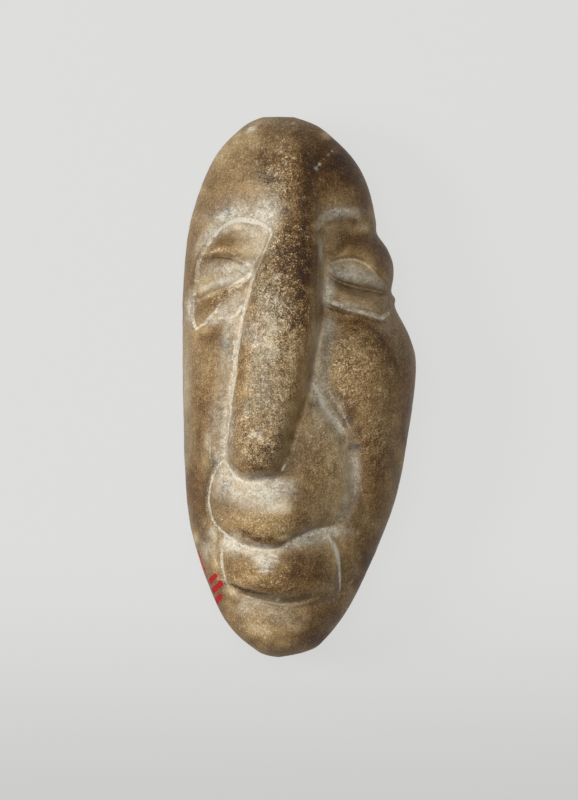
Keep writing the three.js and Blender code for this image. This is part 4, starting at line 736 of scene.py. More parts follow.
    (-9.8, 5.8, 0.6, 0.8, -0.44), (8.7, 5.8, 0.7, 0.7, -0.14), (12.7, 2.4, 0.7, 1.6, -0.05),
    (6.1, 0.6, 0.8, 0.8, -0.06), (-5.2, -4.5, 1.2, 0.7, -0.06), (-5.2, -6.2, 1.2, 1, -0.05),
    (-4.5, 24.7, 0.9, 0.7, -0.08), (-5.8, 26.5, 1, 0.6, -0.06), (-9.8, 23, 0.8, 0.6, -0.18, 35),
    (4.9, 23, 0.9, 0.5, -0.18), (0.1, 24.7, 0.8, 0.8, -0.06), (-7.1, 16.1, 0.6, 0.6, -0.1),
    (-5.8, 14.4, 0.6, 0.7, -0.1), (-5.8, 9.2, 0.7, 0.7, -0.1), (-9.8, 12.7, 0.7, 0.5, -0.08),
    (-13.8, -1.1, 0.5, 0.9, -0.06), (-8.5, -6.2, 0.4, 0.9, -0.08), (4.1, -11.4, 1.2, 0.8, -0.08),
    (7.4, -9.7, 0.5, 1.6, -0.07), (-1.9, -28.6, 1, 0.4, -0.1), (-0.5, -26.9, 1, 0.5, -0.06),
    (-7.2, -32.1, 0.7, 0.6, -0.08), (-1.9, 29.9, 0.7, 0.8, -0.07), (-0.5, 30.7, 0.7, 1, -0.06),
    (-8.5, -25.2, 0.5, 0.6, -0.07), (6.1, -21.7, 0.5, 1.2, -0.08), (-9.8, -11.4, 0.5, 0.8, 0.16),
    (-4.5, -25.1, 1.2, 0.5, 0.12), (-8.3, 14.1, 0.8, 0.3, 0.5, 15), (-5.8, -9.8, 0.9, 0.7, -0.16),
    (-7.1, -9.7, 0.6, 0.6, -0.08), (-12.5, 7.5, 0.7, 0.6, 0.12, 20), (12.7, -2.4, 0.5, 2, 0.04),
    (13.8, -0.7, 0.5, 2, 0.07), (12.7, -4.5, 0.6, 0.8, 0.06), (13.8, -6.5, 0.4, 1.2, -0.1, 10),
    (7.4, 11, 0.9, 0.5, -0.08, -10), (6.6, 7.5, 1.2, 0.5, -0.05, -10), (11.4, 0.7, 0.6, 1.2, -0.06),
    (-9.1, -8.6, 0.5, 1.6, -0.08, -5), (-5.4, -11.3, 2.6, 0.4, 0.34, 2),
    (-3.6, -11.2, 1, 0.5, 0.18, -10),
)

# A grey veil, where the polish is dull or the stone is coated, and a painted grey reflection along
# the left and right rims
VEIL_AND_REFLECTION_PATCHES = (
    (-15.2, -1.7, 0.8, 9, 0.8), (13.8, 5.6, 1.3, 3.6, 0.6, -20), (11.3, 7.5, 1.7, 1.4, 0.9),
    (2.4, -4.4, 2.4, 5.2, 0.4), (-3.3, -28.2, 5, 1, 0.8, -6), (-3.3, 35, 3.4, 0.8, 0.5),
    (-4, -35.3, 2.4, 0.6, 0.6, 5), (-5, 0.9, 1.7, 6, 0.45, 8), (-5, 11.7, 1.8, 2.4, 0.75),
    (5.9, 23.2, 3.4, 1, 0.6), (9.1, 32.3, 2, 1, 0.3, -35), (-4.4, 26.7, 2, 1.6, 0.6),
    (-4.2, 22.7, 1.4, 2.4, 0.5), (2.4, 2.9, 1.6, 3.8, 1), (-12.9, 15.2, 1, 1.4, 0.6),
    (5.9, 15.2, 2.4, 1.3, 1, -10), (8.5, 14.6, 2.2, 1.1, 1, -22), (10.9, 13.3, 1.4, 0.6, 1, -32),
    (5.9, 10.4, 3.6, 1, 0.6, -8), (2.4, -19.6, 3.8, 1.4, 0.9, 10), (3.9, 6.9, 1.4, 2, 0.8),
    (5.3, -5.7, 1.2, 4, 0.7, 30), (7.4, -11, 1.2, 2.4, 0.8), (5.9, -16.3, 1.2, 2, 0.6),
    (-11.7, -11, 0.8, 3, 0.3), (5.3, -24.3, 0.8, 3, 0.7), (-7.9, 22, 3.6, 0.9, 0.9),
    (-4, 13.5, 2, 2, 0.5), (3.3, -1.1, 1.6, 4, 0.7, 20), (-9, -1.7, 0.8, 7, 0.4, 3),
    (4, 19.4, 2.2, 3, 0.35), (-4.6, 27.7, 2.4, 1.2, 0.9, -15), (-15, -1.7, 0.6, 9, 0.9),
    (-3.7, 9.9, 1.7, 2.6, 0.7), (-4, 4.1, 1.8, 1.2, 0.8), (-3.7, 7.5, 1.2, 1, 0.8),
    (-7.1, -2.5, 0.9, 1.2, 0.8), (-5, 17.8, 1, 1, 0.6), (0.9, -2.8, 0.8, 0.8, 0.6),
    (-7.1, 0.6, 0.8, 1, 0.6), (-4.2, -28.6, 4, 0.8, 0.9, -6), (-5.8, 16.5, 1, 1.4, 0.6),
    (-1.3, 10.9, 1, 1, 0.6), (-3.2, 17.8, 0.8, 1, 0.8), (-4.5, 0.6, 1, 1.4, 0.5),
    (-5, -1.7, 1.2, 2, 0.3), (-2.7, 10.4, 1.4, 1.4, 0.7), (-2.7, 14.4, 1.4, 1.4, 0.5),
    (8.7, 7.5, 1.2, 0.8, 0.5, -20), (-5.8, 21, 2, 0.6, 0.6), (-7.1, -6.2, 0.8, 1, 0.6),
    (-7.1, -2.8, 0.9, 1.2, 1),
)

# Coarse golden grains, and the orange skin of the smooth places
GRAIN_PATCHES = (
    (-2, 27.4, 3.2, 5.6, 0.9), (-9.3, 12.5, 2, 0.9, 0.7, 25), (-12.2, 0.3, 1.6, 5, 0.3),
    (-5.6, -30.9, 4, 2.4, 0.3), (-5, -8.6, 2.8, 2.4, 1), (-2, 15.4, 2.4, 5, 0.6),
    (6.9, 2.5, 4.4, 5.4, 0.85), (2.6, -8.3, 3, 5, 0.35), (9.5, -7, 2, 4, 0.5),
    (-5, -18.2, 6, 1.8, 0.55), (-5, -24.9, 5, 2.2, 0.5),
)
WARM_PATCHES = (
    (0, -1.7, 1.4, 7, 0.9, -8), (9, 0.3, 4, 7, 0.7, 10), (13.9, -1.7, 1.4, 8, 0.9),
    (2, -12.3, 2.5, 4, 0.4), (-7.3, -24.5, 3, 2, 1), (-2, -16.9, 3, 1.6, 0.8),
    (-9.8, 19.2, 1.8, 1.2, 0.9, 25), (-12.2, 10.8, 1.6, 1, 0.8, 35), (-12.6, 6.9, 1.4, 2, 0.8, 10),
    (-0.3, 23.4, 1.4, 6, 0.9), (-6, -18.6, 5, 1.6, 0.8), (6, 30.1, 3.4, 5, 0.8, 20),
    (8.2, 18.5, 4, 1.6, 1, -5), (11.2, 16.1, 1.3, 2.6, 1, 15), (9.9, -12.3, 2.4, 8, 0.7, 15),
    (-1.7, 15.4, 2, 5, 0.5), (-0.7, -25.3, 4, 2, 0.8), (6.6, 8.6, 3.6, 1.2, 0.9, -10),
    (1.6, 29.4, 2, 5, 0.9), (6.9, -22.9, 3, 6, 0.5, 25), (-12.5, 0.3, 1.6, 7, 0.55),
    (0.6, 11.5, 1.4, 9, 1), (0.4, 0.2, 1.2, 6, 1, -8), (7.3, 11.2, 4, 0.9, 0.4, -12),
    (-4, -33.6, 6, 3, 0.9), (-8, -30.9, 4, 4, 0.8), (-7.2, 18.9, 2, 2, 0.7),
    (-12.7, -24.6, 2, 3, 0.7), (-9, 11.5, 2, 1.6, 0.5), (-10.3, -1.7, 1.2, 7, 0.6),
    (-4.2, -24.3, 3.5, 1.4, 0.9), (-9.5, 23.2, 3, 2, 0.7, 20), (12.2, -15, 1.4, 8, 0.8, 15),
    (9.6, 26.3, 1.4, 5, 0.9, 10), (-1.3, -14.5, 2.2, 1.6, 0.8), (0, -32.5, 4, 2.4, 0.8, 20),
    (-6.6, -11.1, 3, 0.8, 1, -15), (-9.5, -9, 0.6, 1.8, 1), (3.3, 30.1, 3, 4, 0.9),
    (8.7, 7.8, 4, 1.4, 0.9, -25), (-9.3, 27.7, 3, 3, 0.2), (-8, 26.1, 5, 2.4, 0.3),
    (-5, -18.6, 6, 2, 0.5), (-7.3, 24.5, 4, 1.8, 0.6), (-9.8, 1.6, 1.4, 5, 0.7),
    (-2.9, -23.7, 1.2, 1.4, 1), (12.8, 13.6, 1, 3, 1), (-6.6, 24.1, 4, 1.4, 0.5),
    (-10.5, 7.3, 1.4, 1, 0.8), (-12.2, -4.4, 1.5, 2.6, 0.8), (-6.6, -6.2, 1.2, 1, 0.8),
    (13.7, -1.1, 1, 5, 0.8), (-2.7, -21.6, 1.4, 1.6, 0.8), (4, -30.7, 1.2, 2, 0.9, 40),
    (11.1, 18, 1.3, 1.5, 1.6), (11.7, 16.7, 1.2, 3, 1.5, 10), (11.6, 14.2, 1, 1.6, 1.4),
    (14.5, 0.3, 1.2, 8, 1.5), (14, -5.1, 1.3, 4.5, 1.5, 8), (10.1, -22, 1.2, 3, 1.4, 25),
    (2.4, -33.6, 2.2, 1, 1.6, 30), (4.8, -30.6, 1, 1.6, 1.6, 40), (4.8, 31.2, 1, 1.4, 1.3, 35),
    (7.7, 28, 1, 2.4, 1.4, 30), (8.8, 24.8, 1, 1.6, 1.4, 15), (-9.5, 24, 2.4, 1, 1.2, 20),
    (-11.8, -3.1, 1.5, 3.4, 1.4), (-5.3, -6.4, 1.2, 0.8, 1.5), (-13.3, -13.4, 1.2, 2, 0.9),
    (-4, -23.4, 1.6, 0.8, 1.5), (-11.8, 21.1, 1, 1, 0.8), (8.8, -23.7, 1, 1, 1.3),
    (-5.2, -6.7, 1.4, 1.2, 0.8), (13.7, -6, 1.4, 4, 1.6, 8), (-10.3, 7.3, 1.6, 0.8, 1.2),
    (-8.5, 24.8, 3, 1, 0.6), (-11.5, -2.8, 1.5, 3.4, 1.4), (-5, -6.1, 1.2, 1, 0.9),
    (-10.3, -13.1, 0.8, 1, 1.2), (-3.2, -23.4, 0.8, 1, 1.4), (7.7, 27.5, 1.4, 3, 1.6, 20),
    (9.9, -22.4, 1.4, 3.6, 1.6, 25), (11.4, -16.3, 1, 2.4, 1.4, 15), (-13.8, -13.1, 1.2, 4, 1),
    (-8.5, 24.2, 3, 1.2, 1, 15), (-11.6, -3.3, 1.6, 3.4, 1.6), (-7.1, 7.5, 0.7, 1.4, 1),
    (-2.9, -23.4, 1.4, 1.2, 1.6), (-5.4, -11.5, 3, 0.7, 1.4), (-9.1, -8.6, 0.6, 1.6, 1.2),
    (-6.6, -11.2, 2.2, 0.8, 1.2, -20),
)

# Painted strokes by the left rim near the chin: points of place across the face and y
PAINT_STROKES = (
    ((-0.983, -22), (-0.984, -23.2), (-0.97, -24.3)),
    ((-0.955, -25.9), (-0.895, -25.4), (-0.84, -25)),
    ((-0.967, -27.1), (-0.886, -26.6), (-0.801, -26)),
    ((-0.995, -28.7), (-0.954, -28.3), (-0.878, -27.8)),
)


def smooth_step(value):
    t = np.clip(value, 0, 1)
    return t * t * (3 - 2 * t)


def eased(value, start, end):
    """Runs smoothly from 0 where the value is at the start to 1 where it is at the end."""
    return smooth_step((value - start) / (end - start))


def smooth_line(stops, closed=False):
    """A smooth curve through stops of any number of values, as closely spaced points."""
    stops = np.array(stops, float)
    last = len(stops) - 1
    spans = len(stops) if closed else last
    parts = np.linspace(0, 1, STEPS_PER_STOP, endpoint=False)[:, None]
    points = []
    for span in range(spans):
        places = [span - 1, span, span + 1, span + 2]
        places = [p % len(stops) if closed else min(max(p, 0), last) for p in places]
        before, start, end, after = stops[places]
        bend = 2 * before - 5 * start + 4 * end - after
        twist = 3 * start - before - 3 * end + after
        points.append(start + 0.5 * parts * ((end - before) + parts * (bend + parts * twist)))
    if not closed:
        points.append(stops[-1:])
    return np.concatenate(points)


def x_at(outline, y):
    """Where an outline that runs from head to chin lies at the height y."""
    order = np.argsort(outline[:, 1], kind="stable")
    return np.interp(y, outline[order, 1], outline[order, 0])


def near_line(line, x, y):
    """How (x, y) lies to a line: its distance as a share of the half width there, how far it is
    past that width, the rise there, and 1 on the left of the way the line runs or -1."""
    best = np.full(x.shape, np.inf)
    half_width = np.ones(x.shape)
    rise = np.zeros(x.shape)
    side = np.ones(x.shape)
    for start, end in zip(line[:-1], line[1:]):
        along = end[:2] - start[:2]
        length_squared = along @ along
        if length_squared == 0:
            continue
        dx = x - start[0]
        dy = y - start[1]
        t = np.clip((dx * along[0] + dy * along[1]) / length_squared, 0, 1)
        distance = np.hypot(dx - t * along[0], dy - t * along[1])
        nearer = distance < best
        here = np.where(along[0] * dy - along[1] * dx > 0, 1, -1)
        left, right, height = (start[k] + t * (end[k] - start[k]) for k in (2, 3, 4))
        best = np.where(nearer, distance, best)
        half_width = np.where(nearer, np.where(here > 0, left, right), half_width)
        rise = np.where(nearer, height, rise)
        side = np.where(nearer, here, side)
    return best / half_width, best - half_width, rise, side


def near_stops(stops, x, y, wider=1):
    """The share of the half width and the rise at each point no further than a line's width
    times wider, where the share is endless further off."""
    line = smooth_line(stops)
    reach = wider * line[:, 2:4].max()
    near = (
        (x > line[:, 0].min() - reach)
        & (x < line[:, 0].max() + reach)
        & (y > line[:, 1].min() - reach)
        & (y < line[:, 1].max() + reach)
    )
    share = np.full(x.shape, np.inf)
    rise = np.zeros(x.shape)
    share[near], _, rise[near], _ = near_line(line, x[near], y[near])
    return share, rise


def bell_line(stops, x, y, crisp=False):
    """The section of a crease, a swelling or a line of the finish, at each point: a soft bell, or
    straight sides that meet at crisp edges."""
    share, rise = near_stops(stops, x, y)
    return rise * (1 - (np.clip(share, 0, 1) if crisp else smooth_step(share)))


def pad(x, y, centre, rise, roundness, edge, top_edge, lean, outline):
    """A form inside a closed outline, with its full rise at the centre and none at the outline."""
    rim = smooth_line(outline, closed=True) - np.array(centre)
    angles = np.arctan2(rim[:, 1], rim[:, 0])
    order = np.argsort(angles)
    reaches = np.hypot(rim[:, 0], rim[:, 1])[order]
    dx = x - centre[0]
    dy = y - centre[1]
    angle = np.arctan2(dy, dx)
    share = np.hypot(dx, dy) / np.interp(angle, angles[order], reaches, period=2 * math.pi)
    upward = smooth_step(0.5 + 0.5 * np.sin(angle))
    inside = np.clip(1 - share**roundness, 0, 1)
    return (rise + lean * dy) * inside ** (edge + (top_edge - edge) * upward)


def blurred(field, radius):
    """The field after a soft blur; the radius is in millimetres."""
    cells = radius / GRID_STEP
    reach = math.ceil(3 * cells)
    weights = np.exp(-0.5 * (np.arange(-reach, reach + 1) / cells) ** 2)
    weights /= weights.sum()
    for axis in (0, 1):
        margins = [(reach, reach) if axis == other else (0, 0) for other in (0, 1)]
        padded = np.pad(field, margins, mode="edge")
        length = field.shape[axis]
        shifted = (np.take(padded, range(k, k + length), axis) for k in range(len(weights)))
        field = sum(weight * part for weight, part in zip(weights, shifted))
    return field


class Plan:
    """The carving's height over the plain pebble, and how hollow it is, on a plan grid."""

    def __init__(self, wear, cut_wear):
        self.xs = np.arange(-GRID_HALF_WIDTH, GRID_HALF_WIDTH + GRID_STEP, GRID_STEP)
        self.ys = np.arange(-GRID_HALF_LENGTH, GRID_HALF_LENGTH + GRID_STEP, GRID_STEP)
        x, y = np.meshgrid(self.xs, self.ys)
        face = bell_line(KEEL, x, y) + sum(pad(x, y, *form) for form in PADS.values())
        share, past, rise, _ = near_line(smooth_line(NOSE), x, y)
        bar = rise * np.sqrt(np.clip(1 - share**NOSE_ROUND, 0, 1))
        nose = np.where(share < 1, bar, -FALL_OUTSIDE * past)
        top = np.maximum(face, nose)
        joined = np.exp((face - top) / JOIN_SOFTNESS) + np.exp((nose - top) / JOIN_SOFTNESS)
        cuts = np.minimum.reduce([bell_line(stops, x, y) for stops in CUTS.values()])
        facets = np.minimum.reduce([bell_line(stops, x, y, True) for stops in FACETS.values()])
        cuts = np.minimum(cuts, facets)
        forms = top + JOIN_SOFTNESS * np.log(joined)
        self.relief = blurred(forms, wear) + blurred(cuts, cut_wear)
        self.hollow = blurred(self.relief, HOLLOW_WIDTH) - self.relief
        self.valley = blurred(self.relief, VALLEY_WIDTH) - self.relief

    def sample(self, field, x, y):
        """The field at each (x, y), smoothly between the grid's points."""
        column = np.clip((x - self.xs[0]) / GRID_STEP, 0, len(self.xs) - 1.001)
        row = np.clip((y - self.ys[0]) / GRID_STEP, 0, len(self.ys) - 1.001)
        i = row.astype(int)
        j = column.astype(int)
        v = row - i
        u = column - j
        low = field[i, j] * (1 - u) + field[i, j + 1] * u
        high = field[i + 1, j] * (1 - u) + field[i + 1, j + 1] * u
        return low * (1 - v) + high * v


def spread(part, tightness):
    """Spreads a row of steps from -1 to 1, gathered at both ends. part runs from 0 to 1."""
    s = 2 * part - 1
    t = 1 - np.abs(s)
    return np.sign(s) * (1 - t * t * (1 + tightness) / (t + tightness))


class Pebble:
    """The stone's surface. The edges run from head to chin, and the plan holds the carving."""

    def __init__(self, plan):
        self.plan = plan
        self.left = smooth_line(LEFT_EDGE)
        self.right = smooth_line(RIGHT_EDGE)
        self.smooth_right = smooth_line(PEBBLE_RIGHT)
        self.crest = smooth_line(CREST)

    def face(self, across, y):
        """Points on the face: across runs from -1 at the left rim to 1 at the right rim."""
        middle = x_at(self.crest, y)
        share = np.abs(across)
        fade = eased(share, NOTCH_FADE, 1)
        smooth_side = x_at(self.smooth_right, y)
        right = smooth_side + fade * (x_at(self.right, y) - smooth_side)
        side = np.where(across < 0, x_at(self.left, y), right)
        x = middle + share * (side - middle)
        end = np.clip(1 - np.abs(y / HALF_LENGTH) ** DOME_END_POWER, 0, 1)
        dome = DOME_RISE * end ** (1 / DOME_END_ROUND)
        dome = dome * (1 - share**SECTION_POWER) ** (1 / SECTION_POWER)
        return x, RIM_HEIGHT + dome + self.plan.sample(self.plan.relief, x, y)

    def wall(self, side, turn, y):
        """Points on the back: turn runs from 0 at the rim to 1 at the flat."""
        rim_x, rim_z = self.face(np.full(y.shape, float(side)), y)
        left = x_at(self.left, y)
        middle = (left + x_at(self.right, y)) / 2
        fade = eased(turn, 0, NOTCH_FADE)
        edge = rim_x if side < 0 else rim_x + fade * (x_at(self.smooth_right, y) - rim_x)
        over_flat = np.minimum(np.abs(y) / FLAT_HALF_LENGTH, 1)
        beyond = np.maximum(np.abs(y) - FLAT_HALF_LENGTH, 0) / (HALF_LENGTH - FLAT_HALF_LENGTH)
        flat = np.maximum(FLAT_SHARE * np.sqrt(1 - over_flat**FLAT_END_POWER), FLAT_LEAST)
        drop = rim_z * np.clip(1 - beyond**LIFT_POWER, 0, 1) ** (1 / LIFT_POWER)
        angle = turn * math.pi / 2
        out = np.cos(angle).clip(0) ** (2 / WALL_POWER)
        down = np.sin(angle) ** (2 / WALL_POWER)
        return middle + (edge - middle) * (flat + (1 - flat) * out), rim_z - drop * down


def soft_spot(x, y, centre_x, centre_y, half_width, half_height, strength, turn=0):
    """A spot's strength at each point, which falls to about a third of it at its half sizes."""
    angle = math.radians(turn)
    dx = x - centre_x
    dy = y - centre_y
    u = (dx * math.cos(angle) + dy * math.sin(angle)) / half_width
    v = (dy * math.cos(angle) - dx * math.sin(angle)) / half_height
    return np.minimum(strength * np.exp(-((u * u + v * v) ** SPOT_EDGE)), 1)


def patches(spots, x, y):
    """The soft spots of a finish at each point, where overlapping spots add like paint."""
    left_bare = np.ones(x.shape)
    for spot in spots:
        left_bare *= 1 - soft_spot(x, y, *spot)
    return 1 - left_bare


def tone_and_painted_light_at(x, y):
    """The sum of the tone spots at each point, with painted highlights and painted shade among them."""
    return sum(soft_spot(x, y, *spot) for spot in TONE_AND_PAINTED_LIGHT_PATCHES)


def lines(runs, x, y):
    """The strongest of a finish's lines at each point."""
    return np.maximum.reduce([bell_line(stops, x, y) for stops in runs])


def wide_lines(runs, x, y):
    """How near each point is to a line's middle, over twice its width, and the strength there."""
    nearness = np.zeros(x.shape)
    strength = np.zeros(x.shape)
    weight = np.full(x.shape, 1e-6)
    for stops in runs:
        share, rise = near_stops(stops, x, y, 2)
        bell = 1 - smooth_step(share / 2)
        nearness = np.maximum(nearness, bell)
        strength += bell**2 * rise
        weight += bell**2
    return nearness, strength / weight


def lumpy(points, size, seed):
    """Smooth noise from -1 to 1 whose lumps have that size, at each point in millimetres."""
    cells = 32
    table = np.random.default_rng(seed).uniform(-1, 1, (cells, cells, cells))
    place = points / size
    base = np.floor(place).astype(int)
    part = place - base
    part = part * part * (3 - 2 * part)
    total = np.zeros(len(points))
    for corner in itertools.product((0, 1), repeat=3):
        weight = np.prod(np.where(corner, part, 1 - part), axis=1)
        total += weight * table[tuple(((base + corner) % cells).T)]
    return total


def mask_points(pebble, settings):
    """The stone's points, ring by ring from chin to head, each ring once round the stone."""
    rings = settings.rings
    face_columns = settings.face_columns
    wall_columns = settings.wall_columns
    flat_columns = settings.flat_columns
    y = HALF_LENGTH * spread(np.arange(1, rings) / rings, RING_GATHER)
    columns = []
    for across in spread(np.arange(face_columns + 1) / face_columns, RIM_GATHER):
        columns.append(pebble.face(np.full(y.shape, across), y))
    for turn in np.arange(1, wall_columns + 1) / wall_columns:
        columns.append(pebble.wall(1, turn, y))
    right = columns[-1]
    left = pebble.wall(-1, 1.0, y)
    for share in np.arange(1, flat_columns) / flat_columns:
        columns.append(tuple(a + share * (b - a) for a, b in zip(right, left)))
    for turn in np.arange(wall_columns, 0, -1) / wall_columns:
        columns.append(pebble.wall(-1, turn, y))
    x = np.array([column[0] for column in columns]).T
    z = np.array([column[1] for column in columns]).T
    ring = np.stack([x, np.broadcast_to(y[:, None], x.shape), z], axis=-1)
    ends = np.array([-HALF_LENGTH, HALF_LENGTH])
    end_x, end_z = pebble.face(np.zeros(2), ends)
    poles = np.stack([end_x, ends, end_z], axis=-1)
    return np.concatenate([poles[:1], ring.reshape(-1, 3), poles[1:]]), x.shape


def mask_faces(rows, columns):
    """Quads between the rings, and a fan of triangles at each end."""
    around = np.arange(columns)
    after = (around + 1) % columns
    start = 1 + columns * np.arange(rows - 1)[:, None]
    above = start + columns
    quads = np.stack([start + around, start + after, above + after, above + around], -1)
    chin = np.stack([np.zeros(columns, int), 1 + after, 1 + around], -1)
    top = 1 + columns * (rows - 1)
    head = np.stack([np.full(columns, top + columns), top + around, top + after], -1)
    return quads.reshape(-1, 4).tolist() + chin.tolist() + head.tolist()


def stroke_distance(pebble, points):
    """How far each point is from the painted strokes, in millimetres along the stone."""
    nearest = np.full(len(points), np.inf)
    for stroke in PAINT_STROKES:
        across, y = np.array(stroke).T
        x, z = pebble.face(across, y)
        path = smooth_line(np.stack([x, y, z], axis=-1))
        for start, end in zip(path[:-1], path[1:]):
            along = end - start
            t = np.clip((points - start) @ along / (along @ along), 0, 1)
            away = np.linalg.norm(points - start - t[:, None] * along, axis=1)
            nearest = np.minimum(nearest, away)
    return nearest


def nose_finish(x, y, wobble):
    """Masks: the nose's smooth left flank, grained top and smooth right side, and all beside it."""
    from_foot = x - x_at(np.array(NOSE_FOOT, float), y)
    share, _, _, side = near_line(smooth_line(NOSE), x, y)
    on_nose = eased(share, *NOSE_EDGE) * eased(y, *NOSE_TOP)
    width = FLANK_WIDTH * eased(y, *FLANK_SPREAD) + FLANK_WOBBLE * wobble
    past_flank = eased(from_foot - width, *FLANK_EDGE)
    right_side = eased(side * share - SIDE_WOBBLE * wobble, *NOSE_SIDE)
    flank = on_nose * (1 - past_flank) * eased(y, *FLANK_TOP) * eased(y, *FLANK_END)
    beside = np.minimum(eased(share, *BESIDE_EDGE) + 1 - eased(y, *BESIDE_TOP), 1)
    return flank, on_nose * past_flank * (1 - right_side), on_nose * right_side, beside


def worn(points, normals, z, roughness, spark, flank):
    """The points after wear: soft waves, pits where the stone is rough, and chips on the crests."""
    waves = sum(height * lumpy(points, size, seed) for size, height, seed in WAVES)
    size, height, seed = PITS
    pits = height * lumpy(points, size, seed) * roughness * (1 - (1 - FLANK_PITS) * flank)
    size, height, seed = CHIPS
    chips = height * spark * eased(lumpy(points, size, seed), *CHIP_EDGE)
    return points + normals * ((waves + pits + chips) * eased(z, *OFF_FLAT))[:, None]


def mask_mesh(settings):
    """The carved stone, with its finish at each point, painted light and shade too, in its attributes."""
    plan = Plan(settings.wear / MM, settings.cut_wear / MM)
    pebble = Pebble(plan)
    points, (rows, columns) = mask_points(pebble, settings)
    mesh = bpy.data.meshes.new("pebble_mask")
    mesh.from_pydata((points * MM).tolist(), [], mask_faces(rows, columns))
    mesh.update()
    normals = np.empty(len(points) * 3, np.float32)
    mesh.vertices.foreach_get("normal", normals)
    normals = normals.reshape(-1, 3)

    x, y, z = points.T
    face = eased(z, *FACE_HEIGHT)
    upper = eased(z, *TONE_HEIGHT)
    flank, nose_top, nose_side, beside = nose_finish(x, y, lumpy(points, *WOBBLE))
    # Spark lines are chipped grains and painted highlight streaks
    spark = lines(SPARK_AND_HIGHLIGHT_LINES, x, y) * face
    grains = patches(GRAIN_PATCHES, x, y) * (1 - flank) * (1 - nose_side)
    on_top = (NOSE_TOP_GRAIN + EXTRA_NOSE_GRAIN * grains) * nose_top
    grain = (np.maximum(grains, on_top) + FLANK_GRAIN * flank) * face
    carved = worn(points, normals, z, SMOOTH_PITS + grain + spark, spark, flank)
    mesh.vertices.foreach_set("co", (carved * MM).astype(np.float32).ravel())
    mesh.update()

    shade = lines(SHADE_LINES, x, y) * face
    hollow = HOLLOW_RESIDUE * eased(plan.sample(plan.hollow, x, y), 0, HOLLOW_DEPTH)
    valley = VALLEY_RESIDUE * eased(plan.sample(plan.valley, x, y), 0, VALLEY_DEPTH)
    # Painted light: the hollows' residue is kept on the lit side and out of the creases' painted shade
    unlit = UNLIT_LOSS * eased(x, *UNLIT_SIDE)
    hollow = np.maximum(hollow, valley) * (1 - unlit) * beside * face
    # The residue lines hold painted highlight streaks as well as pale residue
    nearness, strength = wide_lines(RESIDUE_AND_HIGHLIGHT_LINES, x, y)
    warm = np.maximum(patches(WARM_PATCHES, x, y), FLANK_WARMTH * flank)
    for name, values in (
        ("nearness", nearness),
        ("residue_and_highlight", strength * face),
        # Powder patches: pale residue, and painted highlights and glints on the lips
        ("powder_and_highlight", patches(RESIDUE_AND_HIGHLIGHT_PATCHES, x, y) * face),
        ("hollow", hollow * (1 - np.minimum(SHADE_LOSS * shade, 1))),
        ("spark", spark),
        # Crust, partly painted shade under the lips
        ("crust_and_shade", patches(CRUST_AND_SHADE_PATCHES, x, y) * face * (1 - flank)),
        ("grain", grain),
        # Tone: the stone's own tone with painted highlights and painted shade
        ("tone", tone_and_painted_light_at(x, y) * upper + SHADE_TONE * shade),
        # Veil: a dull grey veil, and a painted grey reflection along the rims
        ("veil_and_reflection", patches(VEIL_AND_REFLECTION_PATCHES, x, y) * upper),
        ("warm", warm * eased(z, *WARM_HEIGHT)),
        ("rim", 1 - face),
        ("paint", stroke_distance(pebble, points)),
    ):
        layer = mesh.attributes.new(name, "FLOAT", "POINT")
        layer.data.foreach_set("value", np.asarray(values, np.float32))
    mesh.shade_smooth()
    return mesh


class Shading:
    """Short calls for building a material's nodes."""

    def __init__(self, name):
        self.material = bpy.data.materials.new(name)
        self.material.use_nodes = True
        self.tree = self.material.node_tree
        self.tree.nodes.clear()

    def put(self, socket, value):
        if isinstance(value, bpy.types.NodeSocket):
            self.tree.links.new(value, socket)
        else:
            socket.default_value = value

    def add(self, kind, inputs=None, **settings):
        node = self.tree.nodes.new(kind)
        for name, value in settings.items():
            setattr(node, name, value)
        for name, value in (inputs or {}).items():
            self.put(node.inputs[name], value)
        return node

    def value(self, name):
        return self.add("ShaderNodeAttribute", attribute_name=name).outputs["Fac"]

    def math(self, operation, a, b, clamp=False):
        node = self.add("ShaderNodeMath", {0: a, 1: b}, operation=operation, use_clamp=clamp)
        return node.outputs[0]

    def plus(self, total, *parts):
        for part in parts:
            total = self.math("ADD", total, part)
        return total

    def minus(self, a, b):
        return self.math("SUBTRACT", a, b)

    def times(self, product, *factors):
        for factor in factors:
            product = self.math("MULTIPLY", product, factor)
        return product

    def larger(self, a, b):
        return self.math("MAXIMUM", a, b)

    def centred(self, noise, strength):
        """The noise about 0 instead of about 0.5, times a strength."""
        return self.times(self.minus(noise, 0.5), strength)

    def ragged(self, amount, noise, strength, low, high):
        """A mask whose edge is broken up by noise."""
        return self.between(self.plus(amount, self.centred(noise, strength)), low, high)

    def scaled(self, coordinates, scale):
        """Coordinates in millimetres, times a scale for each direction."""
        sockets = {"Vector": coordinates, "Scale": tuple(part / MM for part in scale)}
        return self.add("ShaderNodeMapping", sockets).outputs["Vector"]

    def noise(self, place, per_mm, detail, roughness, distortion):
        sockets = {"Vector": place, "Scale": per_mm, "Detail": detail, "Roughness": roughness}
        sockets["Distortion"] = distortion
        return self.add("ShaderNodeTexNoise", sockets).outputs["Fac"]

    def between(self, value, low, high, to_low=0.0, to_high=1.0):
        sockets = {"Value": value, "From Min": low, "From Max": high}
        sockets |= {"To Min": to_low, "To Max": to_high}
        node = self.add("ShaderNodeMapRange", sockets, interpolation_type="SMOOTHSTEP")
        return node.outputs["Result"]

    def mix(self, share, a, b, blend="MIX"):
        node = self.add("ShaderNodeMix", data_type="RGBA", blend_type=blend, clamp_factor=True)
        self.put(node.inputs["Factor"], share)
        self.put(node.inputs["A"], a)
        self.put(node.inputs["B"], b)
        return node.outputs["Result"]

    def finished(self, inputs):
        """The material, once a shader with these inputs is its surface."""
        shader = self.add("ShaderNodeBsdfPrincipled", inputs)
        self.add("ShaderNodeOutputMaterial", {"Surface": shader.outputs["BSDF"]})
        return self.material


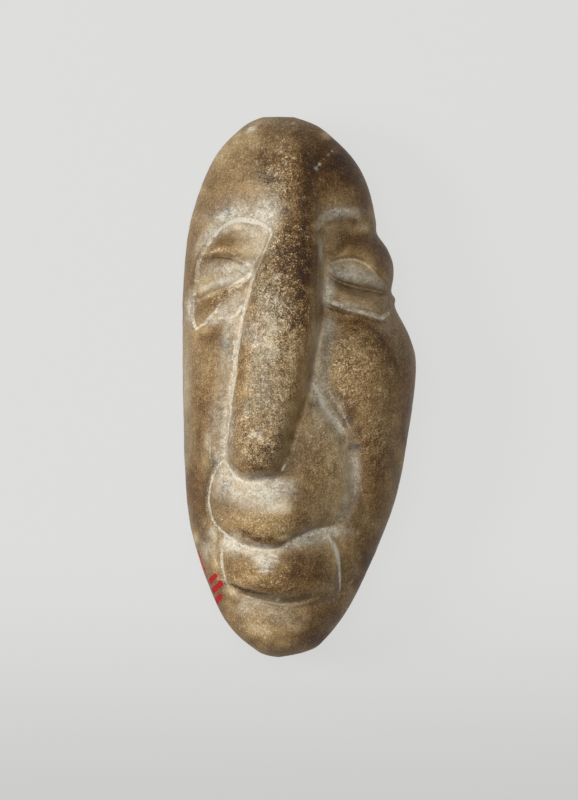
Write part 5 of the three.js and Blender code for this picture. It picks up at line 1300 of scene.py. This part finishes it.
def stone_tone_and_painted_light(shade, finish, patterns, streak, grit, grain, crust_and_shade_here):
    """How light the stone is at each place, from 0 to 1, painted highlights and painted shade included.
    """
    lighter = shade.minus(shade.larger(grit, LEAST_GRAIN), MIDDLE_GRAIN)
    glints = shade.larger(shade.minus(grit, GLINT), 0.0)
    grains = shade.plus(shade.times(lighter, GRAIN_TONE), shade.times(glints, GLINT_TONE))
    grain_strength = shade.plus(shade.times(grain, finish.grain_contrast), finish.speckle)
    dust_strength = shade.plus(shade.times(grain, GRAINY_DUST), SMOOTH_DUST)
    wisp_strength = shade.plus(grain, SMOOTH_WISPS)
    return shade.plus(
        finish.lightness,
        shade.value("tone"),
        shade.centred(patterns["broad"], BROAD_TONE),
        shade.centred(patterns["middle"], MIDDLE_TONE),
        shade.centred(streak, STREAK_TONE),
        shade.centred(patterns["dust"], dust_strength),
        shade.times(shade.centred(patterns["wisps"], WISP_TONE), wisp_strength),
        # Lighter along the spark lines: chipped grains and painted highlight streaks
        shade.times(shade.value("spark"), shade.between(grit, *SPARKS)),
        shade.times(grains, grain_strength),
        shade.times(crust_and_shade_here, CRUST_AND_SHADE_TONE),
    )


def residue_and_highlight_cover(shade, patterns, streak, grit):
    """How much pale residue and painted highlight lies at each place: hollows, cut lines and powder."""
    coarse = patterns["coarse"]
    hollow = shade.times(
        shade.value("hollow"),
        shade.between(streak, *STREAKED_HOLLOWS),
        shade.between(coarse, *CLUMPED_HOLLOWS),
    )
    in_hollows = shade.ragged(hollow, grit, *RAGGED_HOLLOWS)
    line = shade.times(
        shade.value("residue_and_highlight"),
        shade.between(shade.value("nearness"), *LINE_SECTION),
        shade.between(coarse, *CLUMPED_LINES),
    )
    line_grit = shade.plus(shade.centred(grit, line), 0.5)
    in_lines = shade.ragged(line, line_grit, *RAGGED_LINES)
    powder_and_highlight = shade.times(shade.value("powder_and_highlight"), shade.between(grit, *GRAINY_POWDER_AND_HIGHLIGHT))
    wispy = shade.between(patterns["wisps"], *WISPY_POWDER_AND_HIGHLIGHT)
    powder_and_highlight = shade.math("MULTIPLY", powder_and_highlight, wispy, clamp=True)
    return shade.larger(shade.math("ADD", in_hollows, in_lines, clamp=True), powder_and_highlight)


def stone_material(finish):
    """Mottled brown stone with golden grains, dark crust, pale residue, painted strokes, and painted
    highlights, shade and reflection.
    """
    shade = Shading("mottled_brown_stone")
    coordinates = shade.add("ShaderNodeTexCoord").outputs["Object"]
    place = shade.scaled(coordinates, (1, 1, 1))
    patterns = {name: shade.noise(place, *settings) for name, settings in PATTERNS.items()}
    streak = shade.noise(shade.scaled(coordinates, STREAK_SCALE), *STREAK)
    coarse = patterns["coarse"]
    fine = patterns["fine"]
    grit = shade.minus(shade.plus(coarse, fine), 0.5)
    grain = shade.value("grain")
    # Crust, whose dark under the lips is partly painted shade
    crust_and_shade_here = shade.ragged(shade.value("crust_and_shade"), patterns["clumps"], *RAGGED_CRUST_AND_SHADE)

    tone = stone_tone_and_painted_light(shade, finish, patterns, streak, grit, grain, crust_and_shade_here)
    ramp = shade.add("ShaderNodeValToRGB", {"Fac": tone})
    stops = ramp.color_ramp.elements
    stops[0].position = RAMP_PLACES[0]
    stops[1].position = RAMP_PLACES[-1]
    for position in RAMP_PLACES[1:-1]:
        stops.new(position)
    stone_colours = (finish.dark_grain, finish.brown, finish.skin, finish.tan, finish.gold)
    for stop, stone_colour in zip(stops, stone_colours):
        stop.color = stone_colour

    warm = shade.times(shade.value("warm"), WARM_TINT)
    colour = shade.mix(warm, ramp.outputs["Color"], finish.warm, "MULTIPLY")
    # The grey tint is a dull veil and a painted reflection along the rims
    grey = shade.mix(1.0, colour, finish.veil_and_reflection, "MULTIPLY")
    veil_and_reflection = shade.ragged(shade.value("veil_and_reflection"), grit, *RAGGED_VEIL_AND_REFLECTION)
    colour = shade.mix(shade.times(veil_and_reflection, VEIL_AND_REFLECTION_TINT), colour, grey)
    crust_specks = shade.times(crust_and_shade_here, shade.between(grit, *CRUST_AND_SHADE_SPECKS))
    colour = shade.mix(crust_specks, colour, finish.crust_and_shade)
    # The pale residue colour also paints the highlights and glints
    residue_and_highlight = residue_and_highlight_cover(shade, patterns, streak, grit)
    thin_residue_and_highlight = shade.times(residue_and_highlight, shade.between(fine, *THIN_RESIDUE_AND_HIGHLIGHT))
    colour = shade.mix(thin_residue_and_highlight, colour, finish.residue_and_highlight)

    paint_edge = shade.plus(shade.value("paint"), shade.centred(coarse, PAINT_WOBBLE))
    reach = finish.stroke_width / MM / 2
    painted = shade.between(paint_edge, reach + PAINT_EDGE, reach - PAINT_EDGE)
    thin_paint = shade.times(painted, shade.between(fine, *THIN_PAINT))
    colour = shade.mix(thin_paint, colour, finish.paint)

    rubbed = finish.polish_rough
    roughness = shade.plus(
        shade.between(patterns["middle"], *POLISH, rubbed, rubbed + ROUGHER_PATCHES),
        shade.times(shade.larger(residue_and_highlight, painted), ROUGHER_COVER),
        shade.times(shade.value("rim"), ROUGHER_RIM),
    )
    rough_grain = shade.times(grain, ROUGHER_GRAIN)
    roughness = shade.math("ADD", roughness, rough_grain, clamp=True)
    height = shade.plus(
        grit,
        shade.times(streak, STREAK_BUMP),
        shade.times(crust_and_shade_here, CRUST_AND_SHADE_BUMP),
        shade.times(painted, PAINT_BUMP),
    )
    relief = {"Strength": BUMP_STRENGTH, "Distance": BUMP_HEIGHT * MM, "Height": height}
    bump = shade.add("ShaderNodeBump", relief)
    return shade.finished({
        "Base Color": colour,
        "Roughness": roughness,
        "Normal": bump.outputs["Normal"],
        "Specular IOR Level": finish.shine,
    })


def floor_material(colour, glow):
    """A pale backlit panel, which keeps the shadow light."""
    shade = Shading("pale_backlit_panel")
    place = shade.add("ShaderNodeTexCoord").outputs["Object"]
    along = shade.add("ShaderNodeSeparateXYZ", {"Vector": place}).outputs["Y"]
    strengths = (glow * share for share in FLOOR_GLOW_SHARES)
    return shade.finished({
        "Base Color": colour,
        "Roughness": FLOOR_ROUGHNESS,
        "Specular IOR Level": FLOOR_SHINE,
        "Emission Color": FLOOR_GLOW_COLOUR,
        "Emission Strength": shade.between(along, *FLOOR_GLOW_ENDS, *strengths),
    })


def colour_property(name, description, default):
    return bpy.props.FloatVectorProperty(
        name=name, description=description, default=(*default, 1.0), size=4, subtype="COLOR",
        min=0, max=1,
    )


class StoneCarving(bpy.types.PropertyGroup):
    """How finely the stone is carved, and how worn it is."""

    rings: bpy.props.IntProperty(
        name="Rings", description="Rings of the mesh from chin to head", default=370, min=24,
        max=600,
    )
    face_columns: bpy.props.IntProperty(
        name="Face Columns", description="Columns of the mesh across the face", default=200,
        min=12, max=400,
    )
    wall_columns: bpy.props.IntProperty(
        name="Wall Columns", description="Columns down each side wall", default=22, min=4, max=60
    )
    flat_columns: bpy.props.IntProperty(
        name="Flat Columns", description="Columns across the flat back", default=14, min=2, max=60
    )
    wear: bpy.props.FloatProperty(
        name="Wear", description="How far handling has rounded the forms", default=0.26 * MM,
        min=0.02 * MM, max=2 * MM, precision=5, unit="LENGTH",
    )
    cut_wear: bpy.props.FloatProperty(
        name="Cut Wear", description="How far handling has rounded the cut lines", default=0.08 * MM,
        min=0.02 * MM, max=1 * MM, precision=5, unit="LENGTH",
    )


class StoneFinish(bpy.types.PropertyGroup):
    """The colours and the polish of the stone."""

    dark_grain: colour_property("Dark Grain", "The darkest grains", (0.035, 0.018, 0.008))
    brown: colour_property("Brown", "The stone's darker tone", (0.125, 0.066, 0.023))
    skin: colour_property("Skin", "The stone's middle tone", (0.26, 0.172, 0.08))
    tan: colour_property("Tan", "The stone's lighter tone", (0.45, 0.325, 0.172))
    gold: colour_property("Gold", "Grains that catch the light", (0.78, 0.64, 0.42))
    warm: colour_property("Warm Tint", "Tints the smooth orange skin", (1.0, 0.84, 0.58))
    # The veil tint also colours the painted grey reflection along the rims
    veil_and_reflection: colour_property("Veil Tint", "Tints the stone under the grey veil", (0.8, 0.86, 1.0))
    # The crust colour also paints part of the shade under the lips
    crust_and_shade: colour_property("Crust", "Blue-black crust", (0.045, 0.028, 0.022))
    # The residue colour also paints highlights and glints
    residue_and_highlight: colour_property("Residue", "Pale residue in the cuts", (0.82, 0.767, 0.64))
    paint: colour_property("Paint", "The painted strokes", (0.42, 0.008, 0.012))
    lightness: bpy.props.FloatProperty(
        name="Lightness", description="How light the stone's middle tone is", default=0.515, min=0, max=1,
        subtype="FACTOR",
    )
    speckle: bpy.props.FloatProperty(
        name="Speckle", description="Contrast of the grains on smooth stone", default=0.3,
        min=0, max=4,
    )
    grain_contrast: bpy.props.FloatProperty(
        name="Grain Contrast", description="Extra contrast where the grains are coarse",
        default=1.08, min=0, max=6,
    )
    stroke_width: bpy.props.FloatProperty(
        name="Stroke Width", description="Width of a painted stroke", default=0.8 * MM, min=0.1 * MM,
        max=3 * MM, precision=5, unit="LENGTH",
    )
    polish_rough: bpy.props.FloatProperty(
        name="Polish Roughness", description="Roughness where the stone is rubbed most",
        default=0.42, min=0, max=1, subtype="FACTOR",
    )
    shine: bpy.props.FloatProperty(
        name="Shine", description="Strength of the stone's reflection", default=0.24, min=0, max=1,
        subtype="FACTOR",
    )


class MaskStudio(bpy.types.PropertyGroup):
    """The floor, the lights and the camera."""

    floor_size: bpy.props.FloatProperty(
        name="Floor Size", description="Length of each side of the floor", default=3.0, min=0.2,
        unit="LENGTH",
    )
    floor_colour: colour_property("Floor", "The pale floor", (0.08, 0.08, 0.079))
    floor_glow: bpy.props.FloatProperty(
        name="Floor Glow", description="How brightly the floor is lit from behind",
        default=0.623, min=0,
    )
    key_power: bpy.props.FloatProperty(
        name="Key Power", description="Power of the large light at the left", default=3.4,
        min=0, unit="POWER",
    )
    front_power: bpy.props.FloatProperty(
        name="Front Power", description="Power of the large light beside the camera",
        default=3.3, min=0, unit="POWER",
    )
    fill_strength: bpy.props.FloatProperty(
        name="Fill", description="Strength of the even light from all round", default=0.16,
        min=0,
    )
    camera_height: bpy.props.FloatProperty(
        name="Camera Height", description="How far the camera is above the rim of the mask",
        default=1.0, min=0.2, unit="LENGTH",
    )
    view_length: bpy.props.FloatProperty(
        name="View Length", description="Height of the picture at the mask's rim", default=0.10667,
        min=0.05, unit="LENGTH",
    )
    view_centre: bpy.props.FloatVectorProperty(
        name="View Centre", description="The plan position that the camera looks at",
        default=(-1.44 * MM, -1.73 * MM), size=2, unit="LENGTH",
    )


class OBJECT_OT_carve_stone_mask(bpy.types.Operator):
    """Carve the pebble into the mask, finish its stone and put it in place of the plain solid"""

    bl_idname = "object.carve_stone_mask"
    bl_label = "Carve Stone Mask"

    def execute(self, context):
        scene = context.scene
        piece = bpy.data.objects.new("carved_stone", mask_mesh(scene.stone_carving))
        scene.collection.objects.link(piece)
        piece.data.materials.append(stone_material(scene.stone_finish))
        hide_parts("stone_mask")
        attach(piece, "root")
        return {"FINISHED"}


def add_area_light(scene, name, place, size, colour, power):
    data = bpy.data.lights.new(name, "AREA")
    data.shape = "DISK"
    data.size = size
    data.energy = power
    data.color = colour
    light = bpy.data.objects.new(name, data)
    light.location = place
    aim = Vector(LIGHT_TARGET) - Vector(place)
    light.rotation_euler = aim.to_track_quat("-Z", "Y").to_euler()
    scene.collection.objects.link(light)


class SCENE_OT_set_mask_studio(bpy.types.Operator):
    """Lay a pale floor and set soft light and a camera that looks straight down on the mask"""

    bl_idname = "scene.set_mask_studio"
    bl_label = "Set Mask Studio"

    def execute(self, context):
        scene = context.scene
        studio = scene.mask_studio
        half = studio.floor_size / 2
        corners = [(-half, -half, 0), (half, -half, 0), (half, half, 0), (-half, half, 0)]
        mesh = bpy.data.meshes.new("floor")
        mesh.from_pydata(corners, [], [(0, 1, 2, 3)])
        floor = bpy.data.objects.new("floor", mesh)
        mesh.materials.append(floor_material(studio.floor_colour, studio.floor_glow))
        scene.collection.objects.link(floor)

        world = bpy.data.worlds.new("studio")
        world.use_nodes = True
        background = world.node_tree.nodes["Background"]
        background.inputs["Color"].default_value = FILL_COLOUR
        background.inputs["Strength"].default_value = studio.fill_strength
        scene.world = world
        add_area_light(scene, "key", *KEY_LIGHT, studio.key_power)
        add_area_light(scene, "front", *FRONT_LIGHT, studio.front_power)

        data = bpy.data.cameras.new("camera")
        data.sensor_width = SENSOR_WIDTH
        data.lens = data.sensor_width * studio.camera_height / studio.view_length
        camera = bpy.data.objects.new("camera", data)
        camera.location = (*studio.view_centre, RIM_HEIGHT * MM + studio.camera_height)
        scene.collection.objects.link(camera)
        scene.camera = camera
        scene.view_settings.view_transform = "Standard"
        return {"FINISHED"}


PANEL_BOXES = (
    (("stone_carving", "stone_finish"), "object.carve_stone_mask"),
    (("mask_studio",), "scene.set_mask_studio"),
)


class VIEW3D_PT_stone_mask(bpy.types.Panel):
    """The mask's settings and the buttons that build it"""

    bl_idname = "VIEW3D_PT_stone_mask"
    bl_label = "Stone Mask"
    bl_space_type = "VIEW_3D"
    bl_region_type = "UI"
    bl_category = "Stone Mask"

    def draw(self, context):
        for settings, operator in PANEL_BOXES:
            box = self.layout.box()
            for name in settings:
                group = getattr(context.scene, name)
                for prop in type(group).__annotations__:
                    box.prop(group, prop)
            box.operator(operator)


PROPERTY_GROUPS = {
    "stone_carving": StoneCarving,
    "stone_finish": StoneFinish,
    "mask_studio": MaskStudio,
}
CLASSES = (
    *PROPERTY_GROUPS.values(),
    OBJECT_OT_carve_stone_mask,
    SCENE_OT_set_mask_studio,
    VIEW3D_PT_stone_mask,
)


def register():
    for cls in CLASSES:
        bpy.utils.register_class(cls)
    for name, group in PROPERTY_GROUPS.items():
        setattr(bpy.types.Scene, name, bpy.props.PointerProperty(type=group))


def unregister():
    for name in PROPERTY_GROUPS:
        delattr(bpy.types.Scene, name)
    for cls in reversed(CLASSES):
        bpy.utils.unregister_class(cls)


def main():
    register()
    bpy.ops.object.carve_stone_mask()
    bpy.ops.scene.set_mask_studio()


if __name__ == "__main__":
    main()
